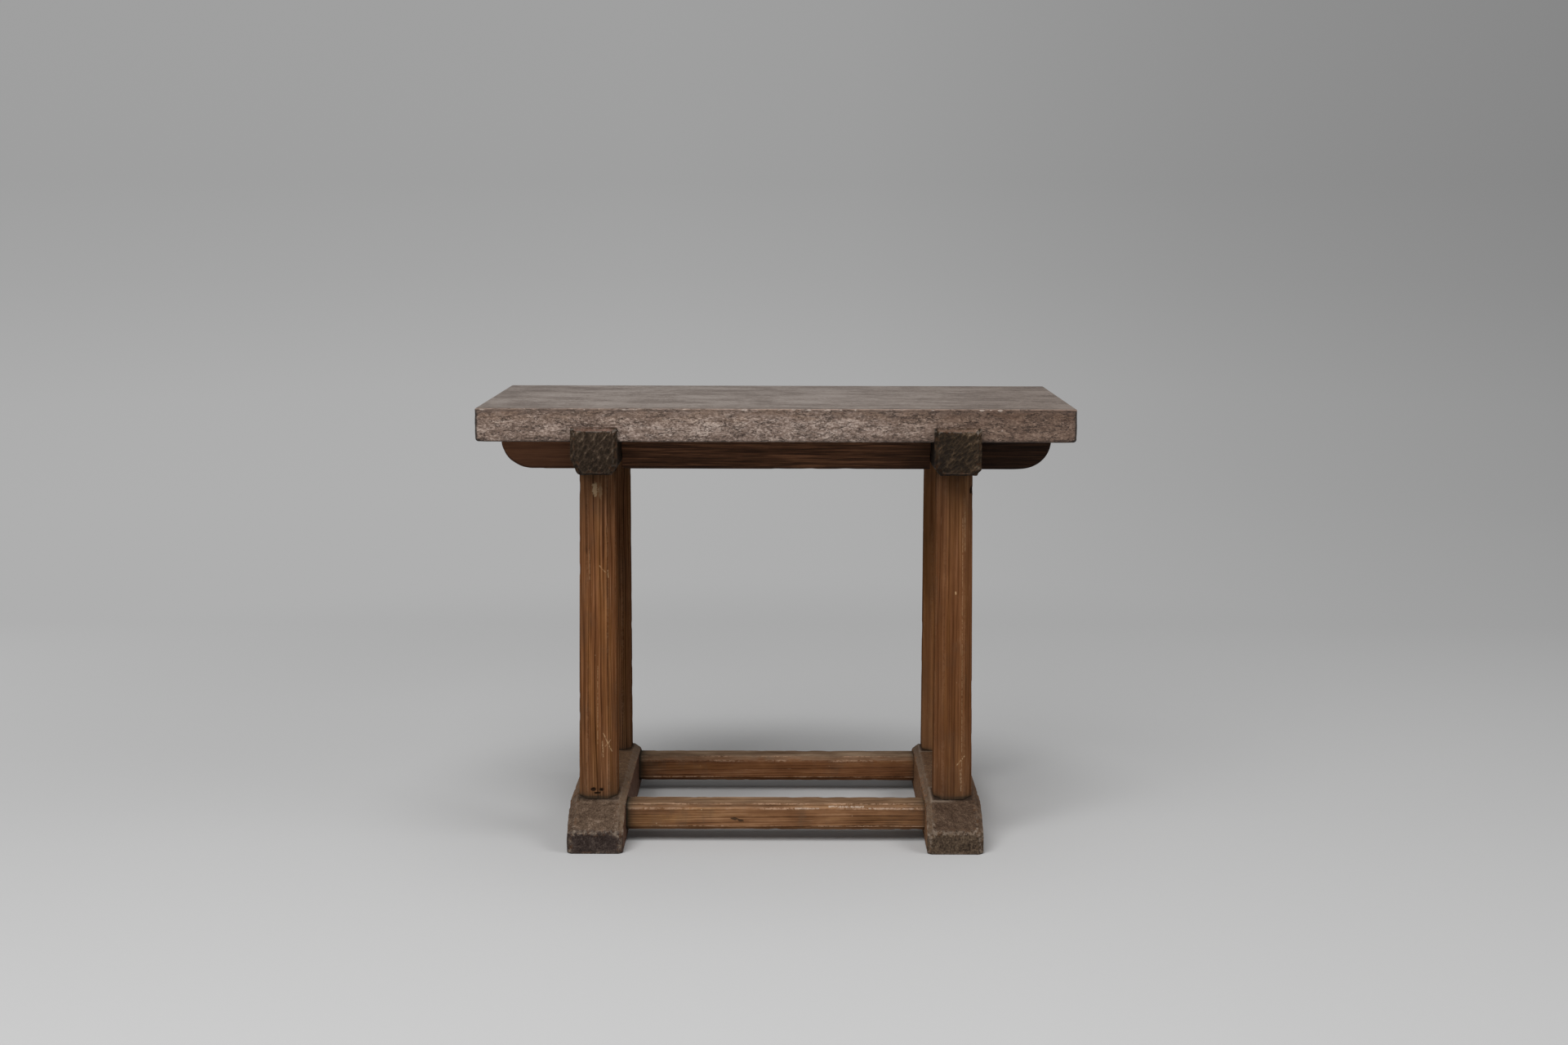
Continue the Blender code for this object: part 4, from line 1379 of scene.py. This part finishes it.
legFront = -0.196     # Y of the front legs' front faces, where their marks are
legChoices = {
    "front_left": {
        "pith": (-0.256, -0.154, 0), "lean": (0.010, 0.012, 0), "shift": (0, 0, 0), "ring": 0.0034,
        "tones": tinted(legLook["tones"], (0.92, 0.87, 0.805)),
        "dull": (0.90, 1.05, 1.27),
        "contrast": 0.54, "fibres": 1.4, "waver": 0.007,
        "patches": [((-0.3060, legFront, 0.609), (0.0055, 0.02, 0.013), 0.90),
                    ((-0.2970, legFront, 0.606), (0.0040, 0.02, 0.016), 0.35)],
        "scratches": [((-0.3024, legFront, 0.306), (-0.3030, legFront, 0.172), 0.0011, 0.22),
                      ((-0.3160, legFront, 0.505), (-0.3156, legFront, 0.455), 0.0010, 0.18),
                      ((-0.2990, legFront, 0.478), (-0.2880, legFront, 0.466), 0.0010, 0.32),
                      ((-0.2850, legFront, 0.470), (-0.2840, legFront, 0.458), 0.0011, 0.38),
                      ((-0.2930, legFront, 0.190), (-0.2790, legFront, 0.158), 0.0010, 0.55),
                      ((-0.2900, legFront, 0.168), (-0.2810, legFront, 0.178), 0.0010, 0.35),
                      ((-0.2950, legFront, 0.176), (-0.2935, legFront, 0.150), 0.0012, 0.45)],
    },
    "front_right": {
        "pith": (0.180, -0.170, 0), "lean": (0.004, -0.006, 0), "shift": (5, 2, 3), "ring": 0.0052,
        "contrast": 0.30, "fibres": 0.95,
        "dull": (0.95, 1.09, 1.33),
        "tones": tinted(legLook["tones"], (0.76, 0.715, 0.67)),
        "scratches": [((0.3200, legFront, 0.572), (0.3206, legFront, 0.505), 0.0010, 0.22),
                      ((0.3160, legFront, 0.560), (0.3175, legFront, 0.100), 0.0009, 0.22),
                      ((0.3095, legFront, 0.137), (0.3220, legFront, 0.152), 0.0010, 0.55),
                      ((0.3050, legFront, 0.434), (0.3052, legFront, 0.431), 0.0015, 0.80),
                      ((0.3150, legFront, 0.128), (0.3165, legFront, 0.092), 0.0010, 0.40)],
    },
    "back_left": {
        "pith": (-0.400, 0.140, 0), "lean": (0.006, 0.008, 0), "shift": (2, 8, 1), "ring": 0.0034,
        # tones darkened as painted shade: only the leg's shaded side shows
        "tones": tinted(legLook["tones"], (0.75, 0.75, 0.75)),
    },
    "back_right": {
        "pith": (0.360, 0.200, 0), "lean": (-0.008, 0.010, 0), "shift": (7, 3, 4), "ring": 0.0038,
        # tones lightened as painted light on the leg's lit side
        "tones": tinted(legLook["tones"], (1.14, 1.13, 1.06)),
        "contrast": 0.20, "fibres": 0.6, "cloudy": 0.20,
    },
}
for corner, choice in legChoices.items():
    makeLeg(corner, pineFinish(f"leg_pine_{corner}", {**legLook, **choice}))
print("legs done")

for side, look in footLooks.items():
    makeFoot(side, carvedFinish(f"tooled_wood_{side}", {**footLook, **look}))
print("feet done")

stretcherScratches = [
    ((0.034, -0.190, 0.0592), (0.076, -0.190, 0.0590), 0.0013, 0.45),
    ((0.092, -0.188, 0.0618), (0.150, -0.188, 0.0616), 0.0015, 0.50),
    ((0.160, -0.190, 0.0592), (0.236, -0.190, 0.0588), 0.0012, 0.35),
]
for row, shift in (("front", (1, 6, 2)), ("back", (4, 2, 7))):
    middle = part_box(f"stretcher_{row}")[0]
    look = {**stretcherLook, "pith": (0, middle.y + 0.020, -0.030), "shift": shift}
    if row == "front":
        look["scratches"] = stretcherScratches
    else:
        look["tones"] = tinted(look["tones"], (0.79, 0.69, 0.64))
        # the back stretcher's top greyer and bluer: dust, and a painted sheen
        look["dust"] = tinted(look["dust"], (1.28, 1.46, 1.62))
    makeStretcher(row, pineFinish(f"stretcher_pine_{row}", look))
print("stretchers done")

hardwood = hardwoodFinish()
for name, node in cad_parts.items():
    if name.startswith(("beam_wedge", "foot_wedge", "lap_peg")):
        node.data.materials.clear()
        node.data.materials.append(hardwood)


# Studio

studio = {
    "floorReach": 4.6,
    "floorRings": 24,
    "sweep": 1.4,
    "sweepRings": 16,
    "wall": 4.2,
    "around": 96,
    "paint": (0.49, 0.49, 0.49),
    # how bright the backdrop is by height, by distance to the back and from left to right, over these lengths
    "lengths": {"Z": 3.2, "Y": 10, "X": 6.4},
    "backdrop": [(0.0, 0.420), (0.10, 0.410), (0.25, 0.365), (0.38, 0.340), (1.0, 0.350)],
    "front": [(0.0, 0.525), (0.28, 0.530), (0.39, 0.73), (0.50, 0.63), (0.58, 0.590), (0.68, 0.51)],
    "fade": [(0.0, 1.0), (0.40, 1.0), (0.55, 0.96), (0.78, 0.81), (1.0, 0.69)],
    "soften": (0.40, 0.82),     # where the backdrop starts to lift the lit floor, from the middle
    "lift": (1.3, 2.6),         # and where it takes over
    "strength": 2.0,
}


def makeStudio():
    # a round pale floor that sweeps up into the wall
    reach, sweep, around = studio["floorReach"], studio["sweep"], studio["around"]
    profile = [(radius, 0.0) for radius in np.linspace(0.02, reach, studio["floorRings"])]
    for turn in np.linspace(0, math.pi / 2, studio["sweepRings"])[1:]:
        profile.append((reach + sweep * math.sin(turn), sweep * (1 - math.cos(turn))))
    profile.append((reach + sweep, studio["wall"]))
    turns = np.linspace(0, 2 * math.pi, around, endpoint=False)
    spokes = [(math.cos(turn), math.sin(turn)) for turn in turns]
    points = [(radius * x, radius * y, z) for radius, z in profile for x, y in spokes]
    faces = [tuple(range(around))]
    for inner, index in itertools.product(range(0, len(points) - around, around), range(around)):
        outer, beside = inner + around, (index + 1) % around
        faces.append((inner + index, outer + index, outer + beside, inner + beside))
    mesh = bpy.data.meshes.new("studio_sweep")
    mesh.from_pydata(points, [], faces)
    mesh.shade_smooth()
    f = Finish("studio_paint", studio)
    f.colour = studio["paint"]
    mesh.materials.append(f.dress(0.9, 0.1))
    lengths = studio["lengths"]
    glow = f.mix(1.0, f.ramp(f.axis("Z") / lengths["Z"], studio["backdrop"]),
                 f.ramp(f.axis("X") / lengths["X"] + 0.5, studio["fade"]), "MULTIPLY")
    glow = f.mix(1.0, glow, f.ramp(f.axis("Y") / lengths["Y"] + 0.5, studio["front"]), "MULTIPLY")
    # painted light: the glow, seen only by the camera, lightens the floor and the table's shadows on it away
    # from the middle
    radius = f.length(f.vector("MULTIPLY", f.place, (1, 1, 0)))
    share = f.step(radius, *studio["soften"]) * 0.6 + f.step(radius, *studio["lift"]) * 0.4
    seen = f.node("ShaderNodeLightPath", output="Is Camera Ray") * share
    backdrop = f.node("ShaderNodeEmission", None, {"Color": glow, "Strength": studio["strength"]})
    both = f.node("ShaderNodeMixShader", None, {0: seen, 1: Value(f, f.shader.outputs[0]), 2: backdrop})
    f.feed(f.tree.nodes["Material Output"].inputs["Surface"], both)
    addObject("studio_sweep", mesh)


def addSoftbox(name, place, size, power):
    lamp = bpy.data.lights.new(name, "AREA")
    lamp.shape = "SQUARE"
    lamp.size = size
    lamp.energy = power
    lampObject = addObject(name, lamp)
    lampObject.location = place
    lampObject.rotation_euler = (Vector((0, 0, 0.45)) - Vector(place)).to_track_quat("-Z", "Y").to_euler()
    lampObject.visible_camera = False


makeStudio()
addSoftbox("key_left", (-1.15, -2.85, 3.9), 3.0, 191)
addSoftbox("fill_right", (2.9, -1.5, 3.2), 2.2, 56)
world = bpy.data.worlds.new("studio_air")
world.use_nodes = True
air = world.node_tree.nodes["Background"].inputs
air["Color"].default_value = (1, 1, 1, 1)
air["Strength"].default_value = 0.30
bpy.context.scene.world = world

viewpoint = {
    "place": (0.0212, -3.8506, 1.0746),
    "down": 4.057,
    "roll": -0.131,
    "lens": 50,
    "shift": (-0.0033, -0.0988),
}
camera = bpy.data.cameras.new("camera")
camera.lens = viewpoint["lens"]
camera.sensor_width = 36
camera.shift_x, camera.shift_y = viewpoint["shift"]
cameraObject = addObject("camera", camera)
cameraObject.location = viewpoint["place"]
cameraObject.rotation_euler = (math.radians(90 - viewpoint["down"]), math.radians(viewpoint["roll"]), 0)
bpy.context.scene.camera = cameraObject
bpy.context.scene.view_settings.view_transform = "Standard"
